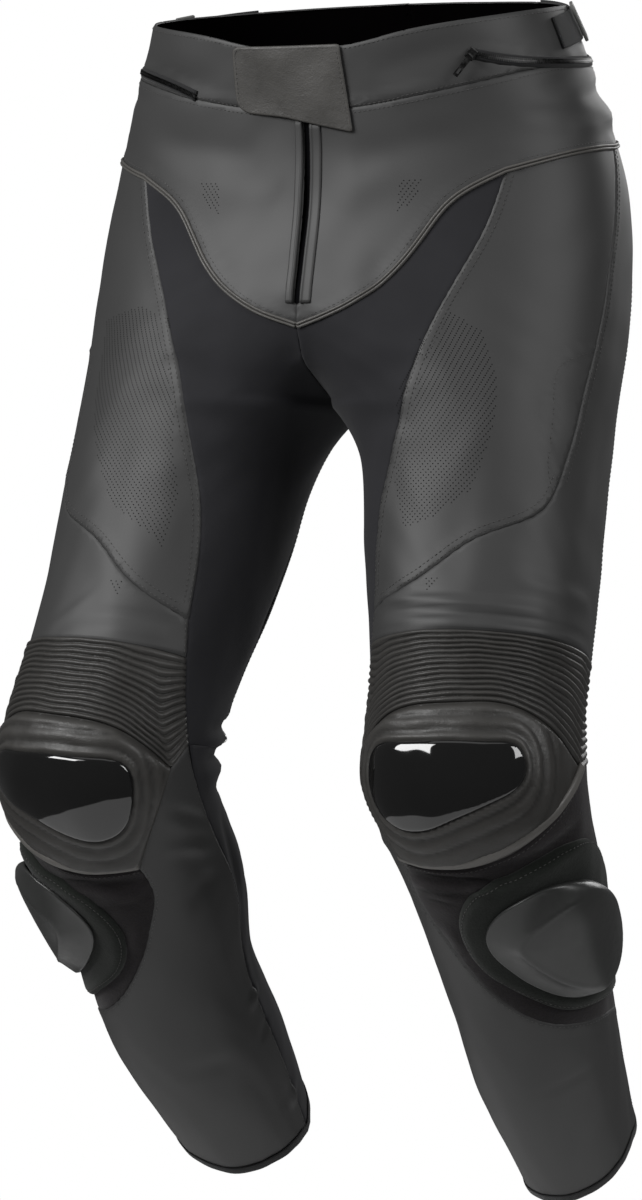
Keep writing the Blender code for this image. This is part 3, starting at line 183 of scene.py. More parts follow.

# Creases: side, angle and level where each starts, the same where it ends, and its half
# width, height (minus is a trough) and bow in millimetres
CREASES = [
    (LEFT, -50, -413, 50, -421, 4.2, 2.6, -5), (LEFT, -44, -421, 92, -430, 2.6, -1.2, -5),
    (LEFT, -58, -430, 78, -436, 3.0, 2.0, -4), (LEFT, 24, -398, 84, -404, 6.0, 1.2, -4),
    (RIGHT, -52, -425, 6, -429, 4.0, -1.0, 3), (RIGHT, 30, -441, -8, -407, 3.0, 0.9, 2),
    (RIGHT, -50, -432, -10, -436, 3.0, 0.7, 1), (BOTH, -30, -243, 8, -212, 11, -1.8, 4),
    (BOTH, -52, -276, -16, -262, 10, -1.4, 3), (LEFT, 70, -120, 22, -330, 20, -1.6, 9),
    (RIGHT, 74, -110, 34, -345, 22, -1.4, -8), (LEFT, 86, -250, 70, -400, 13, -1.2, 5),
    (RIGHT, -4, -230, 4, -340, 17, -0.8, 5), (BOTH, 78, -24, 117, -27, 8, 3.0, 2),
    (BOTH, 84, -3, 122, -8, 8, -2.2, 2), (LEFT, 66, -6, 100, -34, 5, -1.0, 3),
    (LEFT, 72, 10, 104, 22, 5, -1.2, -2), (LEFT, 78, 2, 112, 6, 4, 0.9, 2),
    (RIGHT, 62, 12, 96, 2, 5, -1.0, 3), (LEFT, 26, 34, 62, 52, 8, -1.0, 3),
    (LEFT, 30, 16, 52, 26, 7, 0.8, -2), (RIGHT, 34, 28, 78, 44, 10, -1.1, -3),
    (LEFT, 18, -40, 58, -18, 13, -1.2, 3), (LEFT, 10, -84, 34, -44, 12, 0.9, 4),
    (RIGHT, 20, -30, 66, -14, 12, -1.3, -3), (RIGHT, 8, -66, 40, -56, 12, 0.9, -4),
    (BOTH, 3, -176, 22, -120, 9, -0.8, 3), (BOTH, 118, -52, 158, -96, 13, -2.6, 5),
    (LEFT, 124, -205, 190, -226, 10, -3.4, 5), (RIGHT, 128, -212, 186, -222, 10, -3.0, 4),
    (BOTH, 130, -236, 200, -252, 9, -2.6, 6), (LEFT, 142, -262, 214, -286, 9, -2.2, 6),
    (RIGHT, 150, -270, 218, -282, 10, -2.4, -4), (BOTH, 160, -340, 226, -352, 10, -1.4, 5),
    (LEFT, 140, -405, 208, -420, 8, -2.2, 5), (RIGHT, 146, -398, 216, -410, 8, -1.9, -4),
    (BOTH, 132, -438, 226, -452, 6, -3.0, 5), (BOTH, 126, -452, 232, -466, 6, 2.6, 5),
    (BOTH, 124, -470, 262, -487, 5, -3.2, 6), (BOTH, 118, -484, 268, -500, 5.5, 3.6, 6),
    (BOTH, 116, -500, 272, -515, 5, -4.0, 5), (BOTH, 120, -514, 262, -529, 6, 3.8, 5),
    (LEFT, 124, -531, 250, -546, 5, -2.6, 5), (RIGHT, 130, -533, 244, -541, 5, -2.4, -4),
    (BOTH, 140, -556, 232, -563, 7, -1.5, 4), (BOTH, -100, -566, -66, -546, 5, -1.8, 2),
    (BOTH, -98, -590, -58, -574, 6, 1.4, 3), (BOTH, -92, -606, -62, -622, 8, -1.2, 3),
    (RIGHT, -118, -560, -112, -700, 4.5, -1.8, 3), (RIGHT, -127, -580, -124, -740, 4, 1.5, -3),
    (RIGHT, -134, -540, -133, -660, 5, -1.6, 4), (LEFT, -116, -590, -114, -690, 5, -1.2, 3),
    (BOTH, -118, -728, -96, -737, 4.5, 2.0, 1), (BOTH, -114, -756, -94, -770, 5, -1.2, 1),
    (BOTH, -120, -832, -98, -845, 6, 2.2, 1), (BOTH, -46, -590, 20, -587, 4, -3.4, -3),
    (BOTH, 6, -584, 74, -560, 5, -3.4, -4), (LEFT, -44, -599, -8, -594, 4.0, 3.6, 3),
    (LEFT, -8, -594, 12, -589, 3.5, 2.4, -2), (RIGHT, -40, -601, -12, -597, 5.0, 2.0, -2),
    (LEFT, -42, -609, -14, -606, 3.0, -2.0, 2), (BOTH, -30, -620, -20, -638, 5, 2.0, 2),
    (LEFT, 4, -747, 48, -742, 4, -0.8, 3), (RIGHT, -60, -760, -20, -742, 8, -0.8, 3),
    (BOTH, 120, -690, 200, -702, 10, -1.6, 5), (BOTH, 126, -752, 214, -760, 9, -1.4, -4),
    (BOTH, 130, -806, 210, -812, 8, -1.6, 4),
]

# Knee
RIBS = 14
# The wearer stands with one knee bent further: the knee's pieces sit a little higher on the left leg
KNEE_SLIDE = {LEFT: 4.0, RIGHT: -12.0}  # millimetres along the leg
SLIDE_ABOVE, SLIDE_BELOW = (-320, -480), (-832, -722)   # levels from none of it to all of it
PUCK_LAG = 0.45                # share of it that the knee slider, pressed on by hand, doesn't follow
SHELL_OUTLINE = [(-49, -533), (-47, -517), (-30, -511), (0, -510), (21, -510), (34, -514), (36, -524),
                 (20, -541), (-4, -552), (-26, -559), (-42, -552)]
CUP_ROLLS = [  # millimetres from the shell's outline, height
    (0.0, 4.8), (0.9, 7.0), (2.4, 7.5), (4.0, 6.6), (5.1, 4.6), (6.7, 5.5), (9.6, 6.5), (12.4, 5.9),
    (13.8, 3.8), (15.6, 4.7), (19.2, 5.4), (23.0, 4.6), (24.4, 3.4), (27.0, 4.0), (32.0, 4.0),
    (37.0, 2.8), (46.0, 2.0), (60.0, 1.4),
]
CUP_LIP, CUP_LIP_IN = 8.5, 4.0   # millimetres: its folded lower edge's width, and how far in its middle is
KNEE_UNIT = (1.45, 1.0)        # millimetres on the knee for one degree and one unit of level
PAD_OUTLINE = [(-18, -624), (-11, -604), (11, -588), (42, -576), (76, -574), (99, -600), (100, -660),
               (97, -708), (70, -700), (36, -685), (8, -664), (-11, -646)]
PUCK_OUTLINE = [(-2, -621), (5, -607), (20, -596), (39, -590), (57, -593), (72, -605), (82, -624),
                (84, -648), (76, -667), (60, -676), (43, -673), (24, -660), (7, -641)]
# Heights in millimetres: the slider's foot, its face and upright edge over that, and its dome
PUCK_FOOT, PUCK_FACE, PUCK_EDGE, PUCK_DOME = 6.4, 13.2, 2.6, 2.6
PAD_FOOT, PAD_HEIGHT = 0.6, 5.0
SHELL_EDGE, SHELL_BEVEL, SHELL_DOME = 8.1, 1.5, 2.2

# Waist and fly
TAB_CORNERS = [(-29, 59, 5), (16, 59, 2), (19.5, -14, 2), (-8, 0, 40), (-28, 5, 14)]
WAIST_UNIT = 1.95              # millimetres on the front of the waist for one degree
ZIP_LEFT = [(57.5, 43), (66, 35), (80, 27), (96, 20), (140, 14)]
ZIP_RIGHT = [(220, 14), (264, 20), (284, 31), (304, 28), (316, 18)]
ZIP_BAND = [(-4.5, 0.8), (-3.0, 1.5), (-1.6, 1.7), (0, 1.75), (1.6, 1.7), (3.0, 1.5), (4.5, 0.8)]
TOOTH, TOOTH_PITCH, TOOTH_STAGGER = (2.4, 0.62, 0.9), 0.85, 0.75
STRAP_ANGLES, STRAP_LEVELS = (84, 124), (34, 60)
HIP_LOOP_AT = (102.0, 47.0)    # its angle and level
HIP_LOOP = 20.0, 32.0, 3.0, 2.8   # millimetres: its width, height, bar and thickness
TAB_HEIGHT = 3.4
FLY_LIP, UNDERLAP_WIDE = 3.0, 26   # millimetres: from the middle to a strip, and the flap's width
HEM_FOLD = [(1.8, 0.8), (0, 1.1), (-2.0, 1.1), (-4.0, 1.0), (-6.0, 0.85), (-7.2, 0.6), (-8.0, -0.1),
            (-8.1, -1.0), (-7.4, -1.8), (-6.0, -2.2), (-4.0, -2.4), (-2.0, -2.5), (0, -2.5), (2.0, -2.4)]


# ---- the tube -------------------------------------------------------------------------------------
def clamp(share):
    """The values kept between 0 and 1."""
    return np.clip(share, 0, 1)


def norms(rows):
    """The length of each vector."""
    return np.linalg.norm(rows, axis=-1)


def running(steps):
    """The sum so far at the start of each step, and at the end."""
    return np.concatenate([[0], np.cumsum(steps)])


class Spline:
    """A natural cubic curve through rows of values at rising knots."""

    def __init__(self, knots, rows):
        self.knots = np.asarray(knots, float)
        self.rows = np.asarray(rows, float)
        count = len(self.knots)
        gaps = np.diff(self.knots)
        system, known = np.eye(count), np.zeros_like(self.rows)
        for i in range(1, count - 1):
            system[i, i - 1 : i + 2] = gaps[i - 1], 2 * (gaps[i - 1] + gaps[i]), gaps[i]
            slopes = np.diff(self.rows[i - 1 : i + 2], axis=0) / gaps[i - 1 : i + 1, None]
            known[i] = 6 * (slopes[1] - slopes[0])
        self.bends = np.linalg.solve(system, known)

    def __call__(self, at):
        at = np.asarray(at, float)
        i = np.clip(np.searchsorted(self.knots, at) - 1, 0, len(self.knots) - 2)
        gap = (self.knots[i + 1] - self.knots[i])[..., None]
        low = (self.knots[i + 1] - at)[..., None] / gap
        high = 1 - low
        bend = (low**3 - low) * self.bends[i] + (high**3 - high) * self.bends[i + 1]
        return low * self.rows[i] + high * self.rows[i + 1] + bend * gap**2 / 6


def section_spline():
    rows = np.array(SECTIONS[::-1], float)
    rows[:, :7] *= MM
    return Spline(rows[:, 0], rows[:, 1:])


SECTION_AT = section_spline()


def tube(angle, level):
    """Points of the left side's tube, for angles in degrees and levels in metres."""
    angle, level = np.broadcast_arrays(np.asarray(angle, float), np.asarray(level, float))
    row = np.moveaxis(SECTION_AT(level), -1, 0)
    centre_x, centre_y, outer, inner, front, back, square, pitch, yaw = row
    rise = clamp((level - CROTCH_LEVEL) / CROTCH_RISE)
    depth = np.clip(np.sqrt(1 - (1 - rise) ** 2), 0, 0.9999)
    body_x = np.maximum(centre_x, 0)
    body = np.maximum(body_x / (1 - depth**square) ** (1 / square), outer * depth**4)
    above = level > CROTCH_LEVEL
    inner = np.where(above, body, np.minimum(inner, centre_x))
    centre_x = np.where(above, body_x, centre_x)
    sine, cosine = np.sin(np.radians(angle)), np.cos(np.radians(angle))
    wide = np.where(sine > 0, outer, np.maximum(inner, 1 * MM))
    deep = np.where(cosine > 0, front, back)
    reach = ((np.abs(sine) / wide) ** square + (np.abs(cosine) / deep) ** square) ** (-1 / square)
    across, along = reach * sine, -reach * cosine
    pitch, yaw = np.radians(pitch), np.radians(yaw)
    lift, along = along * np.sin(pitch), along * np.cos(pitch)
    x = centre_x + across * np.cos(yaw) - along * np.sin(yaw)
    y = centre_y + across * np.sin(yaw) + along * np.cos(yaw)
    return np.stack([x, y, level + lift], -1)


def outward(angle, level):
    """Unit normals of the tube."""
    turn, drop = 0.25, 0.5 * MM
    round_it = tube(np.add(angle, turn), level) - tube(np.subtract(angle, turn), level)
    up_it = tube(angle, np.add(level, drop)) - tube(angle, np.subtract(level, drop))
    normal = np.cross(round_it, up_it)
    return normal / np.linalg.norm(normal, axis=-1, keepdims=True)


def metric(places):
    """Millimetres on the tube for one degree and for one unit of level, at each place."""
    angle, level = places[:, 0], places[:, 1] * MM
    per_degree = norms(tube(angle + 0.5, level) - tube(angle - 0.5, level)) / MM
    per_level = norms(tube(angle, level + MM) - tube(angle, level - MM)) / (2 * MM)
    return np.stack([per_degree, per_level], -1)


def hump(away, width):
    """A rounded ridge of height 1 and a half width, at distances from its middle."""
    return np.exp(-((away / width) ** 2))


def crease_height(places, side):
    """Millimetres that the creases and the cloth's slow unevenness move each place outwards."""
    angle, level = places[..., 0], places[..., 1]
    total = 0.4 * np.sin(angle / 13 + level / 41 + side) + 0.35 * np.sin(angle / 29 - level / 23 + 2 * side)
    total += 0.25 * np.sin(angle / 7.5 - level / 17 + 1.7 * side)
    waver = np.sin(angle / 5.3 + 1.6 * np.sin(level / 27 + side))
    total += 0.34 * waver * np.sin(level / 12.5 + 1.5 * np.sin(angle / 11 + 2 * side))
    for only, start, level_0, end, level_1, width, height, bow in CREASES:
        if only == -side:
            continue
        middle = np.array([[(start + end) / 2, (level_0 + level_1) / 2]])
        scale = metric(middle)[0]
        turn = (angle - middle[0, 0] + 180) % 360 - 180
        spot = np.stack([turn * scale[0], (level - middle[0, 1]) * scale[1]], -1)
        run = np.array([(end - start) * scale[0], (level_1 - level_0) * scale[1]])
        length = np.linalg.norm(run)
        run /= length
        along = (spot @ run) / (length / 2)
        off = spot @ np.array([-run[1], run[0]]) - bow * (1 - along**2)
        fade = clamp(1 - along**2) ** 0.8
        body = hump(off, width)
        shoulder = hump(np.abs(off) - 2.1 * width, 0.9 * width)
        total = total + height * fade * (body - 0.22 * shoulder)
    return total


def knee_slide(level, side):
    """Millimetres that a side's knee slides along the leg, at levels in millimetres."""
    fades = [clamp((level - none) / (full - none)) for none, full in (SLIDE_ABOVE, SLIDE_BELOW)]
    share = np.minimum(*fades)
    return KNEE_SLIDE[side] * share**2 * (3 - 2 * share)


def skin(places, out, side):
    """Points on the creased surface of the left leg, moved outwards by millimetres."""
    places = np.asarray(places, float)
    angle, level = places[..., 0], (places[..., 1] + knee_slide(places[..., 1], side)) * MM
    lift = (crease_height(places, side) + out) * MM
    points = tube(angle, level) + outward(angle, level) * lift[..., None]
    step = tube(angle + 0.4, level) - tube(angle - 0.4, level)
    slope = np.clip(step[..., 1] / np.where(np.abs(step[..., 0]) < 1e-7, 1e-7, step[..., 0]), -0.9, 0.9)
    round_off = np.sqrt(points[..., 0] ** 2 + CROTCH_SOFTNESS**2) - np.abs(points[..., 0])
    in_rise = clamp((level - CROTCH_LEVEL - 4 * MM) / RISE_FADES[0])
    in_rise *= clamp((CROTCH_LEVEL + CROTCH_RISE - level) / RISE_FADES[1])
    points[..., 1] += slope * round_off * in_rise
    in_body = (level > BODY_LEVELS[0]) & (level < BODY_LEVELS[1])
    points[..., 0] = np.where(in_body, np.maximum(points[..., 0], CENTRE_CLEARANCE), points[..., 0])
    return points


# ---- seams ----------------------------------------------------------------------------------------
def angle_at(x, level, back=False):
    """The angle where the tube is x metres from the middle plane, at a level in millimetres."""
    x, level = np.broadcast_arrays(np.asarray(x, float), np.asarray(level, float))
    low = np.full(x.shape, 90.0 if back else -90.0)
    high = low + 180
    for _ in range(36):
        middle = (low + high) / 2
        inside_x = tube(middle, level * MM)[..., 0] > x
        low = np.where(inside_x == back, middle, low)
        high = np.where(inside_x == back, high, middle)
    return middle


def evenly(places, step):
    """A row of places thinned to equal steps in millimetres on the tube."""
    places = np.asarray(places, float)
    points = tube(places[:, 0], places[:, 1] * MM)
    run = running(norms(np.diff(points, axis=0)) / MM)
    marks = np.linspace(0, run[-1], max(1, round(run[-1] / step)) + 1)
    return np.stack([np.interp(marks, run, places[:, k]) for k in (0, 1)], -1)


OVERLAP = 3                    # places that a closed curve repeats past each end


def smooth_through(places, closed=False, count=24):
    """A smooth curve through places, with count points from one to the next."""
    places = np.asarray(places, float)
    if len(places) < 3:
        return places[0] + np.linspace(0, 1, count)[:, None] * (places[1] - places[0])
    if closed:
        places = np.concatenate([places[-OVERLAP:], places, places[:OVERLAP]])
    run = running(norms(np.diff(places * (1.5, 1.0), axis=0)))
    spline = Spline(run, places)
    first, last = (OVERLAP, len(places) - OVERLAP) if closed else (0, len(places) - 1)
    steps = np.linspace(0, 1, count, endpoint=False)
    dense = [spline(run[i] + steps * (run[i + 1] - run[i])) for i in range(first, last)]
    return np.concatenate(dense + ([] if closed else [places[-1:]]))


def centre_line(levels, x, back=False):
    """Places at levels, x metres from the middle plane."""
    return np.stack([angle_at(x, levels, back), np.asarray(levels, float)], -1)


def seam_rows(step):
    """Every seam as a row of places a step apart."""
    half, centre = FLY_SLIT / 2 * MM, CENTRE_CLEARANCE / 2
    ends = dict(JUNCTIONS)
    ends["fly_corner"] = (angle_at(half, FLY_TOP), FLY_TOP)
    ends["yoke_tip"] = (angle_at(centre, YOKE_TIP), YOKE_TIP)
    ends["back_fork"] = (angle_at(centre, BACK_FORK, back=True), BACK_FORK)
    seams = {}
    for name, (start, through, end) in SEAMS.items():
        last = np.array(ends[end], float)
        before = through[-1][0] if through else ends[start][0]
        last[0] += 360 * round((before - last[0]) / 360)
        seams[name] = evenly(smooth_through([ends[start], *through, last]), step)
    fly_corner = ends["fly_corner"]
    seams["front_band"] = evenly([(0, ends["rim_front"][1]), (0, FLY_TOP), fly_corner], step)
    seams["back_band"] = evenly([ends["rim_back"], ends["waist_back"]], step)
    slit = centre_line(np.linspace(FLY_TOP, FLY_BOTTOM, 40), half)
    tail = centre_line([FLY_BOTTOM - 2.5, (FLY_BOTTOM + YOKE_TIP) / 2], centre)
    seams["fly_edge"] = np.concatenate([evenly(slit, step), tail, [ends["yoke_tip"]]])
    back = centre_line(np.linspace(ends["waist_back"][1], BACK_FORK, 60), centre, back=True)
    seams["centre_back"] = evenly(back, step)
    fall = np.sin(np.linspace(0, math.pi / 2, 60))
    front_part = centre_line(YOKE_TIP + (CROTCH_LEVEL / MM - YOKE_TIP) * fall, centre)
    back_part = centre_line(BACK_FORK + (CROTCH_LEVEL / MM - BACK_FORK) * fall, centre, back=True)
    back_part = back_part[::-1] - (360, 0)
    front_part[0], back_part[-1] = ends["yoke_tip"], np.subtract(ends["back_fork"], (360, 0))
    seams["crotch"] = np.concatenate([evenly(front_part, step), evenly(back_part, step)[1:]])
    seams["gusset"] = evenly(smooth_through(GUSSET), step)
    seams["patch_join"] = evenly(smooth_through(PATCH_JOIN), step)
    for name, path in (("zip_left", ZIP_LEFT), ("zip_right", ZIP_RIGHT)):
        for edge, up in (("over", ZIP_FOLD), ("under", -ZIP_FOLD)):
            row = np.array(path, float) + (0, up)
            seams[f"{name}_{edge}"] = evenly(smooth_through(row), step)
    return seams


def meets(a, b):
    return abs((a[0] - b[0] + 180) % 360 - 180) < 0.2 and abs(a[1] - b[1]) < 0.2


def chained(names, seams):
    """Seams that follow each other, named in one string, as one row."""
    rows = [seams[name] for name in names.split()]
    chain = rows[0]
    if len(rows) > 1 and not (meets(chain[-1], rows[1][0]) or meets(chain[-1], rows[1][-1])):
        chain = chain[::-1]
    for row in rows[1:]:
        if not meets(chain[-1], row[0]):
            row = row[::-1]
        row = row + (360 * round((chain[-1][0] - row[0][0]) / 360), 0)
        chain = np.concatenate([chain, row[1:]])
    return chain


def turned_left(outline):
    """The outline with its inside on the left."""
    a, b = outline, np.roll(outline, -1, axis=0)
    area = (a[:, 0] * b[:, 1] - b[:, 0] * a[:, 1]).sum()
    return outline if area > 0 else outline[::-1]


def ring_through(places, count):
    """A smooth closed outline through places, running to the left."""
    return turned_left(smooth_through(places, closed=True, count=count))


def to_line(points, line, closed=False):
    """Distance of each point from a line of points, and how far along the line its nearest place is."""
    ends = np.roll(line, -1, axis=0) if closed else line[1:]
    starts = line if closed else line[:-1]
    along = ends - starts
    length = np.maximum(norms(along), 1e-9)
    before = running(length)[:-1]
    away, at = np.empty(len(points)), np.empty(len(points))
    for k in range(0, len(points), 2000):
        part = points[k : k + 2000, None] - starts[None]
        t = clamp((part * along).sum(-1) / length**2)
        gap = norms(part - along * t[..., None])
        best = gap.argmin(1)
        rows = np.arange(len(best))
        away[k : k + 2000] = gap[rows, best]
        at[k : k + 2000] = before[best] + t[rows, best] * length[best]
    return away, at


def is_inside(points, outline):
    """Whether each point is inside an outline."""
    a, b = outline[None], np.roll(outline, -1, axis=0)[None]
    p = points[:, None]
    crosses = (a[..., 1] > p[..., 1]) != (b[..., 1] > p[..., 1])
    rise = np.where(b[..., 1] == a[..., 1], 1e-12, b[..., 1] - a[..., 1])
    at = a[..., 0] + (p[..., 1] - a[..., 1]) * (b[..., 0] - a[..., 0]) / rise
    return (crosses & (p[..., 0] < at)).sum(1) % 2 == 1


# ---- flat patterns and their wrapping -------------------------------------------------------------
class Pattern:
    """A flat piece in millimetres, and the wrap that lays it on the leg."""

    def __init__(self, outline):
        self.outline = turned_left(np.asarray(outline, float))
        low, high = self.outline[:, 1].min(), self.outline[:, 1].max()
        self.levels = np.linspace(low - 12, high + 12, 60)
        spans = [self.span(level) for level in np.clip(self.levels, low + 0.5, high - 0.5)]
        rows = [np.stack([np.linspace(*span, 13), np.full(13, level)], -1)
                for level, span in zip(self.levels, spans)]
        widths, heights = np.array([metric(row).mean(0) for row in rows]).T
        middles = [(first + last) / 2 for first, last in spans]
        smooth = np.convolve(np.pad(widths, 3, "edge"), np.ones(7) / 7, "valid")
        self.middles, self.widths = np.array(middles), smooth
        steps = (smooth[1:] + smooth[:-1]) / 2 * np.diff(middles)
        self.shifts = running(steps)
        rises = (heights[1:] + heights[:-1]) / 2 * np.diff(self.levels)
        self.heights = running(rises)
        self.edge = self.flat(self.outline)

    def span(self, level):
        """The first and last angle of the outline at a level."""
        a, b = self.outline, np.roll(self.outline, -1, axis=0)
        cross = (a[:, 1] > level) != (b[:, 1] > level)
        a, b = a[cross], b[cross]
        angles = a[:, 0] + (b[:, 0] - a[:, 0]) * (level - a[:, 1]) / (b[:, 1] - a[:, 1])
        return angles.min(), angles.max()

    def row(self, level):
        return [np.interp(level, self.levels, found) for found in (self.middles, self.widths, self.shifts)]

    def flat(self, places):
        places = np.asarray(places, float)
        middle, wide, shift = self.row(places[..., 1])
        y = np.interp(places[..., 1], self.levels, self.heights)
        return np.stack([(places[..., 0] - middle) * wide + shift, y], -1)

    def places(self, flat):
        level = np.interp(flat[..., 1], self.heights, self.levels)
        middle, wide, shift = self.row(level)
        return np.stack([(flat[..., 0] - shift) / wide + middle, level], -1)

    def aligned(self, row):
        """The row moved by whole turns to lie along this outline."""
        turns = [row + (360 * k, 0) for k in (-1, 0, 1)]
        return min(turns, key=lambda moved: np.abs(self.outline - moved[len(moved) // 2]).sum(1).min())

    def from_edge(self, flat):
        """Millimetres from the edge, at flat places."""
        return to_line(flat, self.edge, closed=True)[0]

    def sheet(self, rings, step):
        """The outline as one face, inset along its edge and cut into a grid."""
        bm = bmesh.new()
        face = bm.faces.new([bm.verts.new((x, y, 0)) for x, y in self.edge])
        for thickness in rings:
            bmesh.ops.inset_individual(bm, faces=[face], thickness=thickness, use_even_offset=False)
        grid_cut(bm, step)
        return bm


def numbers(rows, name, wide=1, kind=float):
    """One property of every row of a mesh's collection, as an array."""
    found = np.empty(len(rows) * wide, kind)
    rows.foreach_get(name, found)
    return found.reshape(-1, wide) if wide > 1 else found


# Share of a step that keeps the grid off the corners; millimetres within which it takes a point along
# its line, and within which two points become one
GRID_SHIFT, GRID_SNAP, GRID_MERGE = 0.013, 0.02, 0.12


def grid_cut(bm, step):
    """Cuts a flat mesh along lines a step apart in x and in y."""
    points = np.array([vert.co[:2] for vert in bm.verts])
    low, high = points.min(0), points.max(0)
    for axis, normal in ((0, (1, 0, 0)), (1, (0, 1, 0))):
        count = max(1, math.ceil((high[axis] - low[axis]) / step))
        for k in range(1, count):
            at = low[axis] + (high[axis] - low[axis]) * (k + GRID_SHIFT) / count
            where = (at, 0, 0) if axis == 0 else (0, at, 0)
            everything = bm.verts[:] + bm.edges[:] + bm.faces[:]
            bmesh.ops.bisect_plane(bm, geom=everything, dist=GRID_SNAP, plane_co=where, plane_no=normal)
    bmesh.ops.remove_doubles(bm, verts=bm.verts[:], dist=GRID_MERGE)


def skinned(name, bm, side, lay):
    """A mesh object from a flat mesh: lay gives its points on the left leg and its flat cut in metres."""
    mesh = bpy.data.meshes.new(name)
    bm.to_mesh(mesh)
    bm.free()
    points, flat = lay(numbers(mesh.vertices, "co", 3))
    loops = numbers(mesh.loops, "vertex_index", kind=int)
    mesh.uv_layers.new(name="cut").uv.foreach_set("vector", flat[loops].ravel())
    mesh.vertices.foreach_set("co", (points * (side, 1, 1)).ravel())
    if side == RIGHT:
        mesh.flip_normals()
    return mesh


def wrapped(name, pattern, rings, step, side, relief):
    """A flat piece gridded and laid on the leg, at the heights that relief gives."""

    def lay(co):
        places = pattern.places(co[:, :2])
        return skin(places, co[:, 2] + relief(places, co[:, :2]), side), co[:, :2] * MM

    mesh = skinned(name, pattern.sheet(rings, step), side, lay)
    mesh.update()
    return finished(name, mesh, crests=True)


def mark_crests(mesh):
    """Stores how far each point stands out from its neighbours: 0 in a groove, 1 on a ridge; the materials
    paint shade into grooves and a highlight onto ridges from it.
    """
    count = len(mesh.vertices)
    co, normal = numbers(mesh.vertices, "co", 3), numbers(mesh.vertices, "normal", 3)
    start, end = numbers(mesh.edges, "vertices", 2, int).T
    step = unit(co[end] - co[start])
    degree = np.bincount(start, minlength=count) + np.bincount(end, minlength=count)

    def gathered(at_start, at_end):
        total = np.bincount(start, at_start, count) + np.bincount(end, at_end, count)
        return total / np.maximum(degree, 1)

    rise = gathered((step * normal[start]).sum(1), -(step * normal[end]).sum(1))
    crest = clamp(0.5 - CREST_GAIN * rise)
    crest = (crest + gathered(crest[end], crest[start])) / 2
    mesh.attributes.new("crest", "FLOAT", "POINT").data.foreach_set("value", crest)


def linked(name, data):
    made = bpy.data.objects.new(name, data)
    bpy.context.scene.collection.objects.link(made)
    return made


def finished(name, mesh, crests=False):
    if crests:
        mark_crests(mesh)
    mesh.shade_smooth()
    return linked(name, mesh)


def lap_edges(piece):
    """Takes a cut piece's edge a hair past its seam, so that no light comes through between two pieces."""
    bm = bmesh.new()
    bm.from_mesh(piece.data)
    moves = []
    for vert in bm.verts:
        inner = [edge.other_vert(vert).co for edge in vert.link_edges if not edge.is_boundary]
        if vert.is_boundary and inner:
            away = vert.co - sum(inner, Vector()) / len(inner)
            moves.append((vert, away.normalized() * SEAM_LAP * MM))
    for vert, move in moves:
        vert.co += move
    bm.to_mesh(piece.data)
    bm.free()


def ride(piece, slot, *nodes):
    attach(piece, BODY)
    if nodes:
        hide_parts(*nodes)


def cover(piece, wall, finishes, slot, node):
    """Gives a piece its wall in millimetres, grown inwards, and its outer and inner finish, hangs it on the
    trousers and hides the imported parts named in node.
    """
    if wall:
        grown = piece.modifiers.new("wall", "SOLIDIFY")
        grown.thickness = wall * MM
        grown.offset = -1
        grown.use_rim = True
        grown.material_offset = len(finishes.split()) - 1
    for finish in finishes.split():
        piece.data.materials.append(cloth(finish))
    ride(piece, slot, *node.split())
    return piece


def declare_sheet(piece, pattern):
    """Works out the flat cut of a piece, the smallest rectangle it is cut from and its own area, and keeps
    neither.
    """
    turns = np.radians(np.arange(0, 90, 3))
    axes = np.stack([np.cos(turns), np.sin(turns)], -1), np.stack([-np.sin(turns), np.cos(turns)], -1)
    spans = np.stack([np.ptp(pattern.edge @ axis.T, axis=0) for axis in axes], -1) * MM
    wide, long = spans[spans.prod(1).argmin()]
    area = float(numbers(piece.data.polygons, "area").sum())
    wide = float(np.clip(wide, 1.02 * area / long, area / (0.31 * long)))


def declare_strip(piece, wide):
    """Works out the cut of a strip of a known width, none narrower than 10.5 mm, and its area, and keeps
    neither.
    """
    area = float(numbers(piece.data.polygons, "area").sum())
    wide = max(wide, 0.0105)


GROOVE, CLOTH_GROOVE = 0.75, 0.6       # millimetres: depth of a seam in leather, in thinner cloth
LAP, PUCKER, WELT = 0.45, 0.16, 0.95   # and heights of a lapped edge, its puckers and a welt


def seam_relief(lapped, welts, pattern, groove):
    """Heights on a piece: a groove at each seam, laps that stitches draw in, and narrow welts."""
    border = on_tube(pattern.outline)
    laps = [on_tube(row) for row in lapped]
    ridges = [on_tube(row) for row in welts]

    def relief(places, flat):
        spots = on_tube(places)
        rim, run = to_line(spots, border, closed=True)
        out = -groove * hump(rim, 1.0)
        out += 0.35 * PUCKER * np.exp(-rim / 5) * np.sin(run / 1.9 + 1.4 * np.sin(run / 23))
        for line in laps:
            near, along = to_line(spots, line)
            out += LAP * clamp((8.5 - near) / 1.6) * np.clip(near / 1.2, 0.2, 1)
            out += PUCKER * np.exp(-near / 6) * np.sin(along / 1.6 + 1.1 * np.sin(along / 31))
            out -= 0.22 * hump(near - 2.2, 0.8)
        for line in ridges:
            near, along = to_line(spots, line)
            out += WELT * hump(near, 1.1) - 0.4 * hump(near - 2.8, 1.1)
        return out

    return relief


def rounded(corners, steps=7):
    """An outline from (angle, level, radius) corners, each corner an arc of that radius."""
    flat = np.array([(angle * WAIST_UNIT, level) for angle, level, _ in corners], float)
    done = []
    for i, (_, _, radius) in enumerate(corners):
        here, before, after = flat[i], flat[i - 1], flat[(i + 1) % len(flat)]
        back, on = before - here, after - here
        back /= np.linalg.norm(back)
        on /= np.linalg.norm(on)
        half = math.acos(np.clip(back @ on, -1, 1)) / 2
        start, end = here + back * radius / math.tan(half), here + on * radius / math.tan(half)
        centre = here + (back + on) / np.linalg.norm(back + on) * radius / math.sin(half)
        for t in np.linspace(0, 1, steps):
            spoke = (1 - t) * (start - centre) + t * (end - centre)
            done.append(centre + spoke / np.linalg.norm(spoke) * radius)
    ring = np.array(done) / (WAIST_UNIT, 1)
    return evenly(turned_left(np.concatenate([ring, ring[:1]])), 2.5)[:-1]


